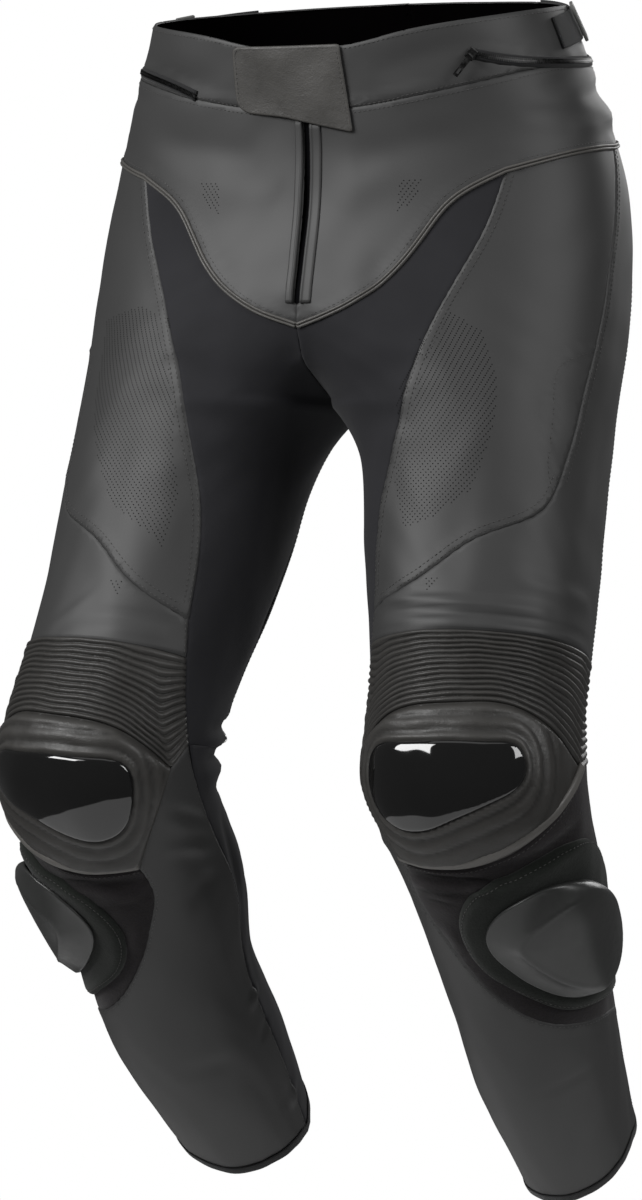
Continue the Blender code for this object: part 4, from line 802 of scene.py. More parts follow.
def draped_grid(name, columns, rows, place, side, size, closed=False):
    """A grid whose point at (u, v) goes to place(u, v): u round the leg, v upwards, both 0 to 1."""

    def lay(co):
        u, v = clamp(co[:, 0] + 0.5), clamp(co[:, 1] + 0.5)
        return place(u, v), np.stack([u, v], -1) * size

    bm = bmesh.new()
    bmesh.ops.create_grid(bm, x_segments=columns, y_segments=rows, size=0.5)
    mesh = skinned(name, bm, side, lay)
    if closed:
        bm = bmesh.new()
        bm.from_mesh(mesh)
        bmesh.ops.remove_doubles(bm, verts=bm.verts[:], dist=0.01 * MM)
        bm.to_mesh(mesh)
        bm.free()
    mesh.update()
    return finished(name, mesh, crests=True)


def on_tube(places):
    """Places as points on the smooth tube, in millimetres."""
    return tube(places[:, 0], places[:, 1] * MM) / MM


# ---- small repeated shapes ------------------------------------------------------------------------
def template(build):
    """Points and triangles of a small shape."""
    bm = bmesh.new()
    build(bm)
    bmesh.ops.triangulate(bm, faces=bm.faces[:])
    bm.verts.ensure_lookup_table()
    points = np.array([vert.co[:] for vert in bm.verts])
    faces = np.array([[vert.index for vert in face.verts] for face in bm.faces])
    bm.free()
    return points, faces


def repeated(name, shape, frames):
    """One mesh of a small shape repeated in many frames (n, 4, 3): across, along, out, place."""
    points, faces = shape
    placed = np.einsum("pk,nkj->npj", points, frames[:, :3]) + frames[:, None, 3]
    shift = np.arange(len(frames))[:, None, None] * len(points)
    mesh = bpy.data.meshes.new(name)
    mesh.from_pydata(placed.reshape(-1, 3).tolist(), [], (faces[None] + shift).reshape(-1, 3).tolist())
    mesh.update()
    return finished(name, mesh)


def unit(vectors):
    return vectors / np.maximum(norms(vectors), 1e-9)[..., None]


def frames_on(places, out, side, heading=False, mirror=True):
    """Frames on the skin: y runs along the row, or along +angle, and z outwards."""
    places = np.asarray(places, float)
    points = skin(places, out, side)
    along = skin(places + (1.0, 0), out, side) - points if heading else np.gradient(points, axis=0)
    up = skin(places + (0, 1.0), out, side) - points
    turn = skin(places + (0.6, 0), out, side) - points
    normal = unit(np.cross(turn, up))
    along = unit(along - normal * (along * normal).sum(1, keepdims=True))
    made = np.stack([np.cross(along, normal), along, normal, points], 1)
    if mirror and side == RIGHT:
        made[..., 0] *= -1
        made[:, 0] *= -1
    return made


def stitch_shape(bm):
    bmesh.ops.create_icosphere(bm, subdivisions=1, radius=1)
    bmesh.ops.scale(bm, vec=(0.30 * MM, 1.35 * MM, 0.26 * MM), verts=bm.verts[:])


def offset_row(pattern, row, distance):
    """A row of places moved into a piece by millimetres."""
    line = pattern.flat(row)
    along = unit(np.gradient(line, axis=0))
    left = np.stack([-along[:, 1], along[:, 0]], -1)
    middle = len(line) // 2
    probe = line[middle] + left[middle] * distance
    if not is_inside(probe[None], pattern.edge)[0]:
        left = -left
    return pattern.places(line + left * distance)


def stitch_row(places, out, side):
    """Frames of the stitches along a row."""
    marks = evenly(places, bpy.context.scene.trouser_sizes.stitch / MM)
    return frames_on(marks, np.full(len(marks), float(out)), side)


# ---- materials ------------------------------------------------------------------------------------
class Shader:
    """Short calls for building a node material."""

    def __init__(self, name):
        self.material = bpy.data.materials.new(name)
        self.material.use_nodes = True
        self.tree = self.material.node_tree
        self.surface = self.tree.nodes["Principled BSDF"]
        self.place = self.tree.nodes.new("ShaderNodeTexCoord")
        self.column = 0

    def node(self, kind, values=(), **settings):
        made = self.tree.nodes.new(kind)
        self.column -= 1
        made.location = (self.column * 190, (self.column % 4) * 150)
        for key, value in settings.items():
            setattr(made, key, value)
        for key, value in dict(values).items():
            made.inputs[key].default_value = value
        return made

    def link(self, source, target):
        self.tree.links.new(source, target)

    def texture(self, kind, output, source, values, **settings):
        made = self.node(kind, values, **settings)
        self.link(self.place.outputs[source], made.inputs["Vector"])
        return made.outputs[output]

    def noise(self, scale, detail=2.0, rough=0.5):
        values = {"Scale": scale, "Detail": detail, "Roughness": rough}
        return self.texture("ShaderNodeTexNoise", "Fac", "Object", values)

    def cells(self, scale):
        return self.texture("ShaderNodeTexVoronoi", "Distance", "Object", {"Scale": scale})

    def wave(self, scale, direction):
        return self.texture("ShaderNodeTexWave", "Fac", "UV", {"Scale": scale}, bands_direction=direction)

    def crest(self):
        """How far the surface stands out from its surroundings, about 0.5 where it is plain; read for
        painted shade in grooves and painted highlight on ridges.
        """
        return self.node("ShaderNodeAttribute", attribute_name="crest").outputs["Fac"]

    def mix(self, first, share, second, other):
        """Two values added, each times its share."""
        return self.math("ADD", self.math("MULTIPLY", first, share), self.math("MULTIPLY", second, other))

    def shade(self, colour, low, high, patches, weight=0.55):
        """The colour with painted shade in grooves and a painted highlight on ridges, over slow random
        patches of tone.
        """
        mixed = self.mix(patches, 1 - weight, self.crest(), weight)
        self.speckle(colour, low, high, self.between(mixed, 0, 1, 0.25, 0.75))

    def speckle(self, colour, low, high, factor):
        """The colour times low to high, as the factor goes from 0 to 1."""
        made = self.node("ShaderNodeMixRGB", {"Color1": (*tint(colour, low), 1),
                                              "Color2": (*tint(colour, high), 1)})
        self.link(factor, made.inputs["Fac"])
        self.link(made.outputs["Color"], self.surface.inputs["Base Color"])

    def math(self, operation, first, second):
        made = self.node("ShaderNodeMath", operation=operation)
        for k, value in enumerate((first, second)):
            if isinstance(value, (int, float)):
                made.inputs[k].default_value = value
            else:
                self.link(value, made.inputs[k])
        return made.outputs[0]

    def between(self, factor, low, high, start=0.0, stop=1.0):
        """A value from low to high as the factor goes from start to stop."""
        made = self.node("ShaderNodeMapRange", {"From Min": start, "From Max": stop, "To Min": low,
                                                 "To Max": high})
        self.link(factor, made.inputs["Value"])
        return made.outputs["Result"]

    def roughness(self, factor, low, high, start=0.3, stop=0.7):
        self.link(self.between(factor, low, high, start, stop), self.surface.inputs["Roughness"])

    def bump(self, height, distance, strength, under=None):
        made = self.node("ShaderNodeBump", {"Strength": strength, "Distance": distance})
        self.link(height, made.inputs["Height"])
        if under is not None:
            self.link(under, made.inputs["Normal"])
        self.link(made.outputs["Normal"], self.surface.inputs["Normal"])
        return made.outputs["Normal"]

    def finish(self, **values):
        """Sets constants on the shader's own sockets and returns the material."""
        for key, value in values.items():
            self.surface.inputs[key.replace("_", " ")].default_value = value
        return self.material


def tint(colour, factor):
    return tuple(min(1.0, channel * factor) for channel in colour)


def leather(name, colour, gloss=0.5):
    """Soft drum-dyed leather: a fine pebble, slow random patches of tone, painted shade in grooves and a
    painted highlight on ridges, rougher where it dips.
    """
    s = Shader(name)
    s.shade(colour, 0.6, 1.45, s.noise(16, 4, 0.62))
    grain = s.mix(s.cells(820), 0.9, s.noise(1500, 2, 0.6), 0.5)
    s.roughness(s.noise(120, 4, 0.6), gloss - 0.08, gloss + 0.1)
    soft = s.bump(s.noise(34, 4, 0.58), 0.0019, 0.55)
    s.bump(grain, 0.00018, 0.55, soft)
    return s.finish(Specular_IOR_Level=0.42)


def stretch_cloth(name, colour):
    """Matt stretch cloth: fine slanting ribs, bluish, with a low sheen, painted shade in grooves and a
    painted highlight on ridges.
    """
    s = Shader(name)
    weave = s.mix(s.wave(420, "DIAGONAL"), 0.6, s.wave(300, "Y"), 0.4)
    s.shade(colour, 0.65, 1.35, s.noise(14, 3))
    soft = s.bump(s.noise(26, 3, 0.5), 0.0012, 0.5)
    s.bump(weave, 0.00012, 0.5, soft)
    return s.finish(Roughness=0.82, Sheen_Weight=0.06, Sheen_Roughness=0.5, Specular_IOR_Level=0.22)


def loop_cloth(name, colour):
    """Brushed loop tape: a short felted nap with dark pits, painted shade in grooves and a painted
    highlight on ridges.
    """
    s = Shader(name)
    nap = s.noise(520, 4, 0.7)
    s.shade(colour, 0.35, 1.8, nap, 0.4)
    soft = s.bump(s.noise(60, 3, 0.5), 0.0008, 0.5)
    s.bump(nap, 0.0006, 0.8, soft)
    return s.finish(Roughness=0.95, Sheen_Weight=0.12, Sheen_Roughness=0.6, Specular_IOR_Level=0.12)


def gloss_shell(name, colour):
    """Polished black plastic with a trace of orange peel."""
    s = Shader(name)
    s.speckle(colour, 0.8, 1.2, s.noise(20, 2))
    s.bump(s.noise(110, 2, 0.4), 0.00025, 0.06)
    s.roughness(s.noise(90, 3, 0.6), 0.04, 0.09, stop=0.8)
    return s.finish(Specular_IOR_Level=0.6, Coat_Weight=0.6, Coat_Roughness=0.03)


def moulded_plastic(name, colour, rough):
    """Satin moulded plastic with a spark-eroded grain."""
    s = Shader(name)
    s.speckle(colour, 0.9, 1.1, s.noise(35, 3))
    s.bump(s.noise(1400, 2, 0.6), 0.00008, 0.5)
    s.roughness(s.noise(160, 3, 0.6), rough - 0.04, rough + 0.08)
    return s.finish(Specular_IOR_Level=0.5)


def woven_tape(name, colour):
    """Narrow woven tape with a rib every 0.8 mm."""
    s = Shader(name)
    ribs = s.wave(390, "X")
    s.speckle(colour, 0.6, 1.3, ribs)
    s.bump(ribs, 0.00018, 0.7)
    return s.finish(Roughness=0.8, Sheen_Weight=0.15, Specular_IOR_Level=0.3)


def thread(name, colour):
    s = Shader(name)
    s.speckle(colour, 0.8, 1.3, s.noise(2600, 1, 0.5))
    return s.finish(Roughness=0.55, Specular_IOR_Level=0.4, Sheen_Weight=0.2)


def shaded_lining(name, colour):
    """The matt inner face of the cloth, without gloss: its very dark colour is painted shade, with more
    painted shade in grooves and a painted highlight on ridges.
    """
    s = Shader(name)
    s.shade(colour, 0.7, 1.3, s.noise(30, 3))
    s.bump(s.noise(700, 3), 0.00015, 0.5)
    return s.finish(Roughness=1.0, Specular_IOR_Level=0.0)


def dark_metal(name, colour, rough):
    s = Shader(name)
    wear = s.noise(420, 4, 0.65)
    s.speckle(colour, 0.7, 1.8, s.between(wear, 0, 1, 0.45, 0.75))
    s.roughness(wear, rough - 0.06, rough + 0.14)
    s.bump(s.noise(900, 2), 0.00005, 0.4)
    return s.finish(Metallic=1.0)


def pit(name, colour):
    """Painted shade: a dark disc that stands for the shaded inside of a punched hole."""
    s = Shader(name)
    s.speckle(colour, 0.7, 1.3, s.noise(300, 2))
    return s.finish(Roughness=0.95, Specular_IOR_Level=0.1)


def floor_paint(name, colour):
    s = Shader(name)
    s.speckle(colour, 0.99, 1.0, s.noise(3, 2))
    s.bump(s.noise(60, 2), 0.0004, 0.1)
    return s.finish(Roughness=0.9, Specular_IOR_Level=0.2)


# A finish: what makes it, its base colour and what that is multiplied by, and its roughness
FINISHES = {
    "leather": (leather, "leather", 1), "tab": (leather, "leather", 1.25),
    "padded_leather": (leather, "leather", 0.75, 0.44), "ribbed_leather": (leather, "leather", 0.72, 0.46),
    # Two lighter copies of the leather on the next line are painted light: twice as light for a painted
    # sheen on the knee cup's lower lip, 1.35 times for a painted highlight on the yoke piping
    "lip_leather": (leather, "leather", 2.0, 0.38), "edged_leather": (leather, "leather", 1.35, 0.42),
    "stretch": (stretch_cloth, "stretch", 1), "loop": (loop_cloth, "loop", 1),
    "pad_loop": (loop_cloth, "pad", 1), "inside": (shaded_lining, "inside", 1),
    # The layer behind the fly is a real layer, at a quarter of the stretch colour as painted shade in the
    # slit
    "underlap": (shaded_lining, "stretch", 0.25), "shell": (gloss_shell, "shell", 1),
    "puck": (moulded_plastic, "puck", 1, 0.33), "buckle": (moulded_plastic, "buckle", 1, 0.42),
    "tape": (woven_tape, "tape", 1), "thread": (thread, "thread", 1),
    "metal": (dark_metal, "metal", 1, 0.32), "pit": (pit, "pit", 1), "floor": (floor_paint, "floor", 1),
}


def cloth(kind):
    """The material of that name, made once."""
    made = bpy.data.materials.get(kind)
    if made is None:
        make, colour, factor, *rough = FINISHES[kind]
        made = make(kind, tint(getattr(bpy.context.scene.trouser_colours, colour), factor), *rough)
    return made


# ---- sizes and colours that a user would change ---------------------------------------------------
def length(name, text, default):
    return FloatProperty(name=name, description=text, default=default, unit="LENGTH", min=0)


def paint(name, text, default):
    return FloatVectorProperty(name=name, description=text, default=default, subtype="COLOR", size=3,
                               min=0, max=1)


class TrouserSizes(bpy.types.PropertyGroup):
    """Sizes of the cloth and of its sewing"""

    grid: length("Grid", "Spacing of the mesh on plain cloth", 4.4 * MM)
    fine_grid: length("Fine grid", "Spacing of the mesh on padded and moulded pieces", 2.3 * MM)
    leather_wall: length("Leather", "Thickness of the leather", 1.4 * MM)
    stretch_wall: length("Stretch cloth", "Thickness of the stretch cloth", 1.2 * MM)
    band_wall: length("Waistband", "Thickness of the folded waistband", 2.0 * MM)
    stitch: length("Stitch", "Distance from one stitch to the next", 3.9 * MM)
    hole_pitch: length("Hole pitch", "Distance from one ventilation hole to the next", 4.4 * MM)
    hole: length("Hole", "Radius of a ventilation hole", 0.5 * MM)
    rib_height: length("Rib", "Height of the ribs over the knee", 2.3 * MM)
    camera_distance: length("Camera distance", "From the camera to the middle of the picture", 3.2)
    ribs: IntProperty(name="Ribs", description="Number of ribs over each knee", default=RIBS, min=2)


class TrouserColours(bpy.types.PropertyGroup):
    """Base colours, in linear light"""

    leather: paint("Leather", "Dyed leather", (0.052, 0.050, 0.047))
    stretch: paint("Stretch cloth", "Stretch cloth", (0.022, 0.022, 0.025))
    loop: paint("Loop", "Brushed loop tape", (0.012, 0.010, 0.011))
    pad: paint("Pad", "Loop cloth on the slider's pad", (0.0085, 0.0105, 0.0085))
    # Painted shade: the inner faces of the cloth are made near black even though the lamps reach them
    inside: paint("Inside", "Inner face of the cloth", (0.0015, 0.0012, 0.0014))
    shell: paint("Shell", "Glossy knee shell", (0.006, 0.006, 0.006))
    puck: paint("Slider", "Moulded knee slider", (0.036, 0.037, 0.036))
    buckle: paint("Loop at the hip", "Plastic of the strap's loop", (0.16, 0.16, 0.155))
    tape: paint("Tape", "Binding, zip tape and straps", (0.016, 0.016, 0.017))
    thread: paint("Thread", "Sewing thread", (0.060, 0.058, 0.056))
    metal: paint("Metal", "Blackened zip metal", (0.045, 0.045, 0.045))
    # Painted shade for the inside of a ventilation hole
    pit: paint("Hole", "Inside of a ventilation hole", (0.008, 0.008, 0.008))
    floor: paint("Floor", "Studio floor", (0.86, 0.86, 0.86))


# ---- pieces ---------------------------------------------------------------------------------------
SLOTS = {"leather": "leather", "stretch": "stretch_cloth", "loop": "hook_and_loop"}
RINGS = (0.7, 0.5, 1.2)        # millimetres between the rows of points beside a seam


def welts_of(cut, side, seams):
    """A piece's welts on one side; the zip's two halves differ, and the right one is mirrored."""
    for name in cut.welts.split():
        if name.startswith("zip_right"):
            if side == RIGHT:
                yield (360, 0) + seams[name] * (-1, 1)
        elif not name.startswith("zip_left") or side == LEFT:
            yield seams[name]


def make_panel(name, side, tag, seams):
    """One cut piece of leather or cloth, wrapped and given its wall."""
    sizes = bpy.context.scene.trouser_sizes
    cut = CUTS[name]
    pattern = Pattern(chained(cut.seams, seams)[:-1])
    lapped = [pattern.aligned(seams[seam]) for seam in cut.lapped.split()]
    welts = [pattern.aligned(row) for row in welts_of(cut, side, seams)]
    relief = seam_relief(lapped, welts, pattern, GROOVE if cut.cloth == "leather" else CLOTH_GROOVE)
    piece = wrapped(f"{name}_{tag}_cloth", pattern, RINGS, sizes.grid / MM, side, relief)
    lap_edges(piece)
    wall = sizes.leather_wall if cut.cloth == "leather" else sizes.stretch_wall
    if name == "waistband":
        wall = sizes.band_wall
    cover(piece, wall / MM, f"{cut.cloth} inside", SLOTS[cut.cloth], f"{name}_{tag}")
    declare_sheet(piece, pattern)


RIBS_WIDE = 0.2                # metres: a ribbed panel's cut width
RIB_COLUMNS, RIB_STEPS = 92, 8


def make_ribs(side, tag, seams):
    """The bellows over the knee: rounded ribs with tight valleys."""
    sizes = bpy.context.scene.trouser_sizes
    low = evenly(chained("ribs_corner ribs_low ribs_tail", seams), 0.5)
    curves = [Spline(np.linspace(0, 1, len(row[::12])), row[::12])
              for row in (low, evenly(seams["ribs_top"], 0.5))]

    def place(u, v):
        across = v[:, None] * curves[1](u) + (1 - v[:, None]) * curves[0](u)
        edge = np.minimum(u, 1 - u)
        waver = 0.10 * np.sin(u * 21 + side) + 0.07 * np.sin(u * 47 + v * 9 + 2 * side)
        phase = np.clip(v * sizes.ribs + waver * clamp(np.minimum(v, 1 - v) * 14), 0, sizes.ribs)
        count = np.floor(phase)
        swell = np.abs(np.sin(math.pi * phase)) ** 0.5
        uneven = 1 + 0.1 * np.sin(count * 2.4 + u * 7 + side) + 0.06 * np.sin(count * 5.1 - u * 13)
        ends = 1 - 0.6 * np.exp(-edge / 0.025)
        return skin(across, -1.3 + sizes.rib_height / MM * 1.4 * swell * uneven * ends, side)

    piece = draped_grid(f"knee_ribs_{tag}_cloth", RIB_COLUMNS, sizes.ribs * RIB_STEPS, place, side,
                        (0.26, 0.12))
    cover(piece, 1.2, "ribbed_leather inside", "leather", f"knee_ribs_{tag}")
    declare_strip(piece, RIBS_WIDE)


def on_knee(places):
    """Flat millimetres near the knee's front."""
    return np.asarray(places, float) * KNEE_UNIT


def make_cup(side, tag, seams):
    """The padded cup: stitched rolls in rings round the hard shell."""
    pattern = Pattern(chained("cup_left cup_low ribs_low", seams)[:-1])
    shell = on_knee(ring_through(SHELL_OUTLINE, 10))
    away, height = np.array(CUP_ROLLS).T
    edge = on_knee(pattern.outline)

    def relief(places, flat):
        spot = on_knee(places)
        gap, run = to_line(spot, shell, closed=True)
        gap = np.where(is_inside(spot, shell), 0, gap)
        rim, _ = to_line(spot, edge, closed=True)
        roll = np.interp(gap, away, height) + 0.25 * np.sin(run / 5.5 + gap / 3) * clamp(gap / 8)
        return np.minimum(roll, 0.4 + rim * 1.1) * np.clip(rim / 2.2, 0.12, 1)

    step = bpy.context.scene.trouser_sizes.fine_grid / MM
    padding = wrapped(f"knee_cup_{tag}_padding", pattern, RINGS, step, side, relief)
    cover(padding, 2.4, "padded_leather inside", "leather", f"knee_cup_{tag}")
    path = on_knee(evenly(seams["cup_low"], 2.4))
    run = np.gradient(path, axis=0)
    path += CUP_LIP_IN * np.stack([-run[:, 1], run[:, 0]], -1) / norms(run)[:, None]
    # The lip's leather is twice as light: a painted sheen along the cup's lower edge
    lay_ribbon(f"knee_cup_{tag}_lip", path / KNEE_UNIT, side, half_rounds(1, CUP_LIP, 3.4, 1.4), 0.5,
               "lip_leather", "leather", f"knee_cup_{tag}")


def make_shell(side, tag):
    """The polished plate let into the cup."""
    pattern = Pattern(ring_through(SHELL_OUTLINE, 7))
    edge = on_knee(pattern.outline)

    def relief(places, flat):
        rim, _ = to_line(on_knee(places), edge, closed=True)
        bevel = SHELL_BEVEL * (1 - clamp(rim / 2.4)) ** 2
        return SHELL_EDGE - bevel + SHELL_DOME * (1 - np.exp(-rim / 10))

    piece = wrapped(f"knee_shell_{tag}_plate", pattern, (0.4, 0.5, 0.7, 0.9), 2.0, side, relief)
    cover(piece, 3.6, "shell", "gloss_shell", f"knee_shell_{tag}")


def make_pad(side, tag):
    """The foam pad sewn on the patch, covered with loop cloth."""
    pattern = Pattern(evenly(ring_through(PAD_OUTLINE, 10), 3.0))

    def relief(places, flat):
        rim = pattern.from_edge(flat)
        seam = -0.7 * hump(rim - 3.4, 1.1)
        return PAD_FOOT + PAD_HEIGHT * clamp(1 - np.exp(-rim / 2.1)) + seam

    piece = wrapped(f"slider_pad_{tag}_padding", pattern, (0.5, 0.6, 0.9, 1.2, 1.2), 3.0, side, relief)
    cover(piece, 0.5, "pad_loop", "hook_and_loop", f"slider_pad_{tag}")


def make_puck(side, tag):
    """The hard slider: a drop-shaped block, hollowed along its inner flank and domed on top."""
    places = smooth_through(PUCK_OUTLINE, closed=True, count=10) - (0, PUCK_LAG * KNEE_SLIDE[side])
    pattern = Pattern(evenly(turned_left(places), 2.2))

    def relief(places, flat):
        rim = pattern.from_edge(flat)
        tip = clamp((54 - places[:, 0]) / 46)
        flank = 9.0 + 16 * tip
        climb = clamp(rim / flank)
        round_side, hollow_side = np.sqrt(1 - (1 - climb) ** 2), climb**1.6
        hollow = round_side + (hollow_side - round_side) * clamp(2 * tip)
        dome = PUCK_DOME * (1 - np.exp(-np.maximum(rim - flank, 0) / 12))
        ridge = 1.0 * clamp(2 * tip) * hump(rim - flank - 0.6, 1.6)
        foot = PUCK_FOOT + PUCK_EDGE * np.clip(rim / 0.6, 0.1, 1) ** 0.5
        return foot + (PUCK_FACE - PUCK_EDGE) * hollow + dome + ridge

    piece = wrapped(f"knee_slider_{tag}_block", pattern, (0.5, 0.6, 0.9, 1.3, 1.5), 2.0, side, relief)
    cover(piece, 3.0, "puck", "slider_puck", f"knee_slider_{tag}")


def make_tab():
    """The closure tab over the top of the fly."""
    pattern = Pattern(rounded(TAB_CORNERS))

    def relief(places, flat):
        rim = pattern.from_edge(flat)
        wave = 0.45 * np.sin(places[:, 0] / 6 + places[:, 1] / 17) * clamp(rim / 9)
        return TAB_HEIGHT - 1.1 * hump(rim, 0.7) + wave - 0.3 * hump(rim - 2.6, 0.8)

    piece = wrapped("closure_tab_cloth", pattern, (0.3, 0.4, 0.6, 1.0), 3.6, LEFT, relief)
    cover(piece, 2.7, "tab", "leather", "closure_tab")
    declare_sheet(piece, pattern)


def lay_ribbon(name, path, side, profile, wall, finish, slot, node, closed=False):
    """A strip along a row of places, with its cross-section as (up, out) in millimetres."""
    frames = frames_on(path, 0.0, side, mirror=False)
    profile = np.asarray(profile, float)
    count, width = len(path) - 1, len(profile) - 1
    if closed:
        frames = np.concatenate([frames, frames[:1]])
        count += 1

    def place(u, v):
        i, k = np.rint(u * count).astype(int), np.rint(v * width).astype(int)
        across, _, normal, spot = np.moveaxis(frames[i], 1, 0)
        return spot + (normal * profile[k, 1:] - across * profile[k, :1]) * MM

    run, wide = (float(norms(np.diff(row, axis=0)).sum()) for row in
                 (frames[:, 3], profile * MM))
    piece = draped_grid(name, count, width, place, side, (run, wide), closed)
    cover(piece, wall, finish, slot, node)
    declare_strip(piece, wide)


def half_rounds(count, width, height, foot, steps=6):
    """A profile of cords side by side."""
    rows = []
    for k in range(count):
        middle = width * (k - (count - 1) / 2)
        for t in np.linspace(0, math.pi, steps + 1)[(k > 0):]:
            rows.append((middle - width / 2 * math.cos(t), foot + height * math.sin(t) ** 0.8))
    return rows


def make_piping(side, tag, seams):
    path = evenly(chained("yoke_curve yoke_edge yoke_end", seams), 2.2)
    # The piping's leather is 1.35 times as light: a painted highlight on the cords
    lay_ribbon(f"yoke_piping_{tag}_cords", path, side, half_rounds(2, 2.5, 2.2, 0.1), 0.4,
               "edged_leather", "leather", f"yoke_piping_{tag}")


def make_hem(side, tag, seams):
    path = evenly(np.concatenate([seams["hem_front"], seams["hem_rear"][1:]]), 4.0)[:-1]
    lay_ribbon(f"hem_binding_{tag}_fold", path, side, HEM_FOLD[::-1], 0.3, "tape", "webbing",
               f"hem_binding_{tag}", closed=True)


def make_fly():
    """The strips along the slit's lips and the layer behind them."""
    for tag, side, far, tab_edge in (("left", LEFT, 12.6, -5.5), ("right", RIGHT, 9.8, -2.0)):
        wide = far - FLY_LIP

        def place(u, v):
            level = tab_edge + 3 + (FLY_BOTTOM - tab_edge - 3) * (1 - v)
            places = np.stack([angle_at((FLY_LIP + wide * u) * MM, level), level], -1)
            rim = np.minimum(u, 1 - u) * wide
            clear = clamp((tab_edge - level) / 2.5)
            out = 1.5 + 0.7 * hump(u * wide - 1.4, 0.9) - 0.9 * hump(rim, 0.6)
            return skin(places, 0.3 + (out - 0.3) * clear, side)

        piece = draped_grid(f"fly_strip_{tag}_cloth", 12, 60, place, side, (wide * MM, 0.16))
        cover(piece, 1.0, "leather", "leather", f"fly_strip_{tag}")
        declare_strip(piece, wide * MM)

    def behind(u, v):
        x = (u - 0.5) * UNDERLAP_WIDE
        level = (FLY_TOP - 4) + (FLY_BOTTOM - 1 - FLY_TOP) * (1 - v)
        places = np.stack([angle_at(np.maximum(np.abs(x), 0.05) * MM, level), level], -1)
        points = skin(places, np.full(len(x), -3.0), LEFT)
        points[:, 0] = np.abs(points[:, 0]) * np.sign(x + 1e-9)
        return points

    # A real layer behind the slit, painted four times darker than the stretch cloth: painted shade in the
    # slit
    flap = draped_grid("fly_underlap_cloth", 14, 50, behind, LEFT, (UNDERLAP_WIDE * MM, 0.16))
    cover(flap, 1.0, "underlap", "stretch_cloth", "fly_underlap")
    declare_strip(flap, UNDERLAP_WIDE * MM)


def scaled_cube(size):
    """What builds a block of a size in millimetres."""

    def build(bm):
        bmesh.ops.create_cube(bm, size=1)
        bmesh.ops.scale(bm, vec=Vector(size) * MM, verts=bm.verts[:])

    return build


def zip_path(step):
    return evenly(smooth_through([*ZIP_LEFT, *ZIP_RIGHT]), step)


def make_zip():
    """The zip round the back: tape and two rows of teeth."""
    lay_ribbon("zip_tape_woven", zip_path(4.0), LEFT, ZIP_BAND, 0.4, "tape", "webbing", "zip_tape")
    frames = frames_on(zip_path(TOOTH_PITCH), 2.0, LEFT)
    stagger = np.where(np.arange(len(frames)) % 2, TOOTH_STAGGER, -TOOTH_STAGGER)
    frames[:, 3] += frames[:, 0] * (stagger * MM)[:, None]
    teeth = repeated("zip_teeth", template(scaled_cube(TOOTH)), frames)
    teeth.data.shade_flat()
    cover(teeth, 0, "metal", "zip_metal", "")


def make_hip(side, tag):
    """The take-up strap at the hip and the plastic loop it runs through."""
    low, high = STRAP_LEVELS
    path = evenly([(angle, (low + high) / 2) for angle in STRAP_ANGLES], 2.5)
    half = (high - low) / 2
    flat = [(t * half, 2.3 if abs(t) < 0.93 else 1.9) for t in np.linspace(-1, 1, 19)]
    lay_ribbon(f"hip_strap_{tag}_webbing", path, side, flat, 1.4, "tape", "webbing", f"hip_strap_{tag}")
    spots = np.array([HIP_LOOP_AT]) + [[-1, 0], [0, 0], [1, 0]]
    across, along, normal, spot = frames_on(spots, 2.0, side, mirror=False)[1]
    wide, tall, bar, thick = HIP_LOOP
    bm = bmesh.new()
    bmesh.ops.create_grid(bm, x_segments=1, y_segments=1, size=0.5)
    bmesh.ops.scale(bm, vec=(wide, tall, 1), verts=bm.verts[:])
    ring = bmesh.ops.inset_individual(bm, faces=bm.faces[:], thickness=bar, use_even_offset=True)
    middle = [face for face in bm.faces if face not in ring["faces"]]
    bmesh.ops.delete(bm, geom=middle, context="FACES")
    lifted = bmesh.ops.extrude_face_region(bm, geom=bm.faces[:])
    raised = [item for item in lifted["geom"] if isinstance(item, bmesh.types.BMVert)]
    bmesh.ops.translate(bm, vec=(0, 0, thick), verts=raised)
    bmesh.ops.recalc_face_normals(bm, faces=bm.faces[:])
    bmesh.ops.bevel(bm, geom=bm.edges[:], offset=0.7, segments=3, affect="EDGES", profile=0.5,
                    material=-1)
    turn = Matrix(np.stack([along, -across, normal], 1).tolist())
    for vert in bm.verts:
        vert.co = (turn @ (vert.co * MM)) + Vector(spot + normal * 0.6 * MM)
        vert.co.x *= side
    bmesh.ops.recalc_face_normals(bm, faces=bm.faces[:])
    mesh = bpy.data.meshes.new(f"hip_loop_{tag}_moulded")
    bm.to_mesh(mesh)
    bm.free()
    cover(finished(mesh.name, mesh), 0, "buckle", "loop_plastic", f"hip_loop_{tag}")


# ---- sewing ---------------------------------------------------------------------------------------
# Rows of stitches: the piece they are on, its seam, millimetres from it and height over the tube
ROWS = [
    ("waistband", "rim", 3.0, 0.3), ("waistband", "waist_front", 2.2, 0.42),
    ("waistband", "waist_rear", 2.2, 0.42), ("front_yoke", "waist_front", 4.5, 0.2),
    ("thigh_front", "inner_thigh", 2.2, 0.42), ("thigh_front", "inner_thigh", 6.4, 0.52),
    ("thigh_front", "thigh_slant", 2.2, 0.42), ("thigh_front", "thigh_slant", 6.4, 0.52),
    ("thigh_side", "outer_thigh", 2.2, 0.42), ("thigh_side", "outer_thigh", 6.4, 0.52),
    ("thigh_side", "inner_low", 2.2, 0.42), ("back_panel", "side_back", 2.2, 0.42),
    ("back_panel", "side_back", 6.4, 0.52), ("back_panel", "back_inner", 2.2, 0.42),
    ("back_panel", "back_inner", 6.4, 0.52), ("back_panel", "centre_back", 2.2, 0.42),
    ("shin", "inner_shin", 2.2, 0.42), ("shin", "shin_side", 2.2, 0.42), ("shin", "patch_low", 2.2, 0.42),
    ("slider_patch", "cup_low", 3.0, 0.15), ("thigh_front", "gusset", 2.4, 0.1),
    ("front_yoke", "yoke_curve", 4.6, 0.42), ("front_yoke", "yoke_edge", 4.6, 0.42),
]


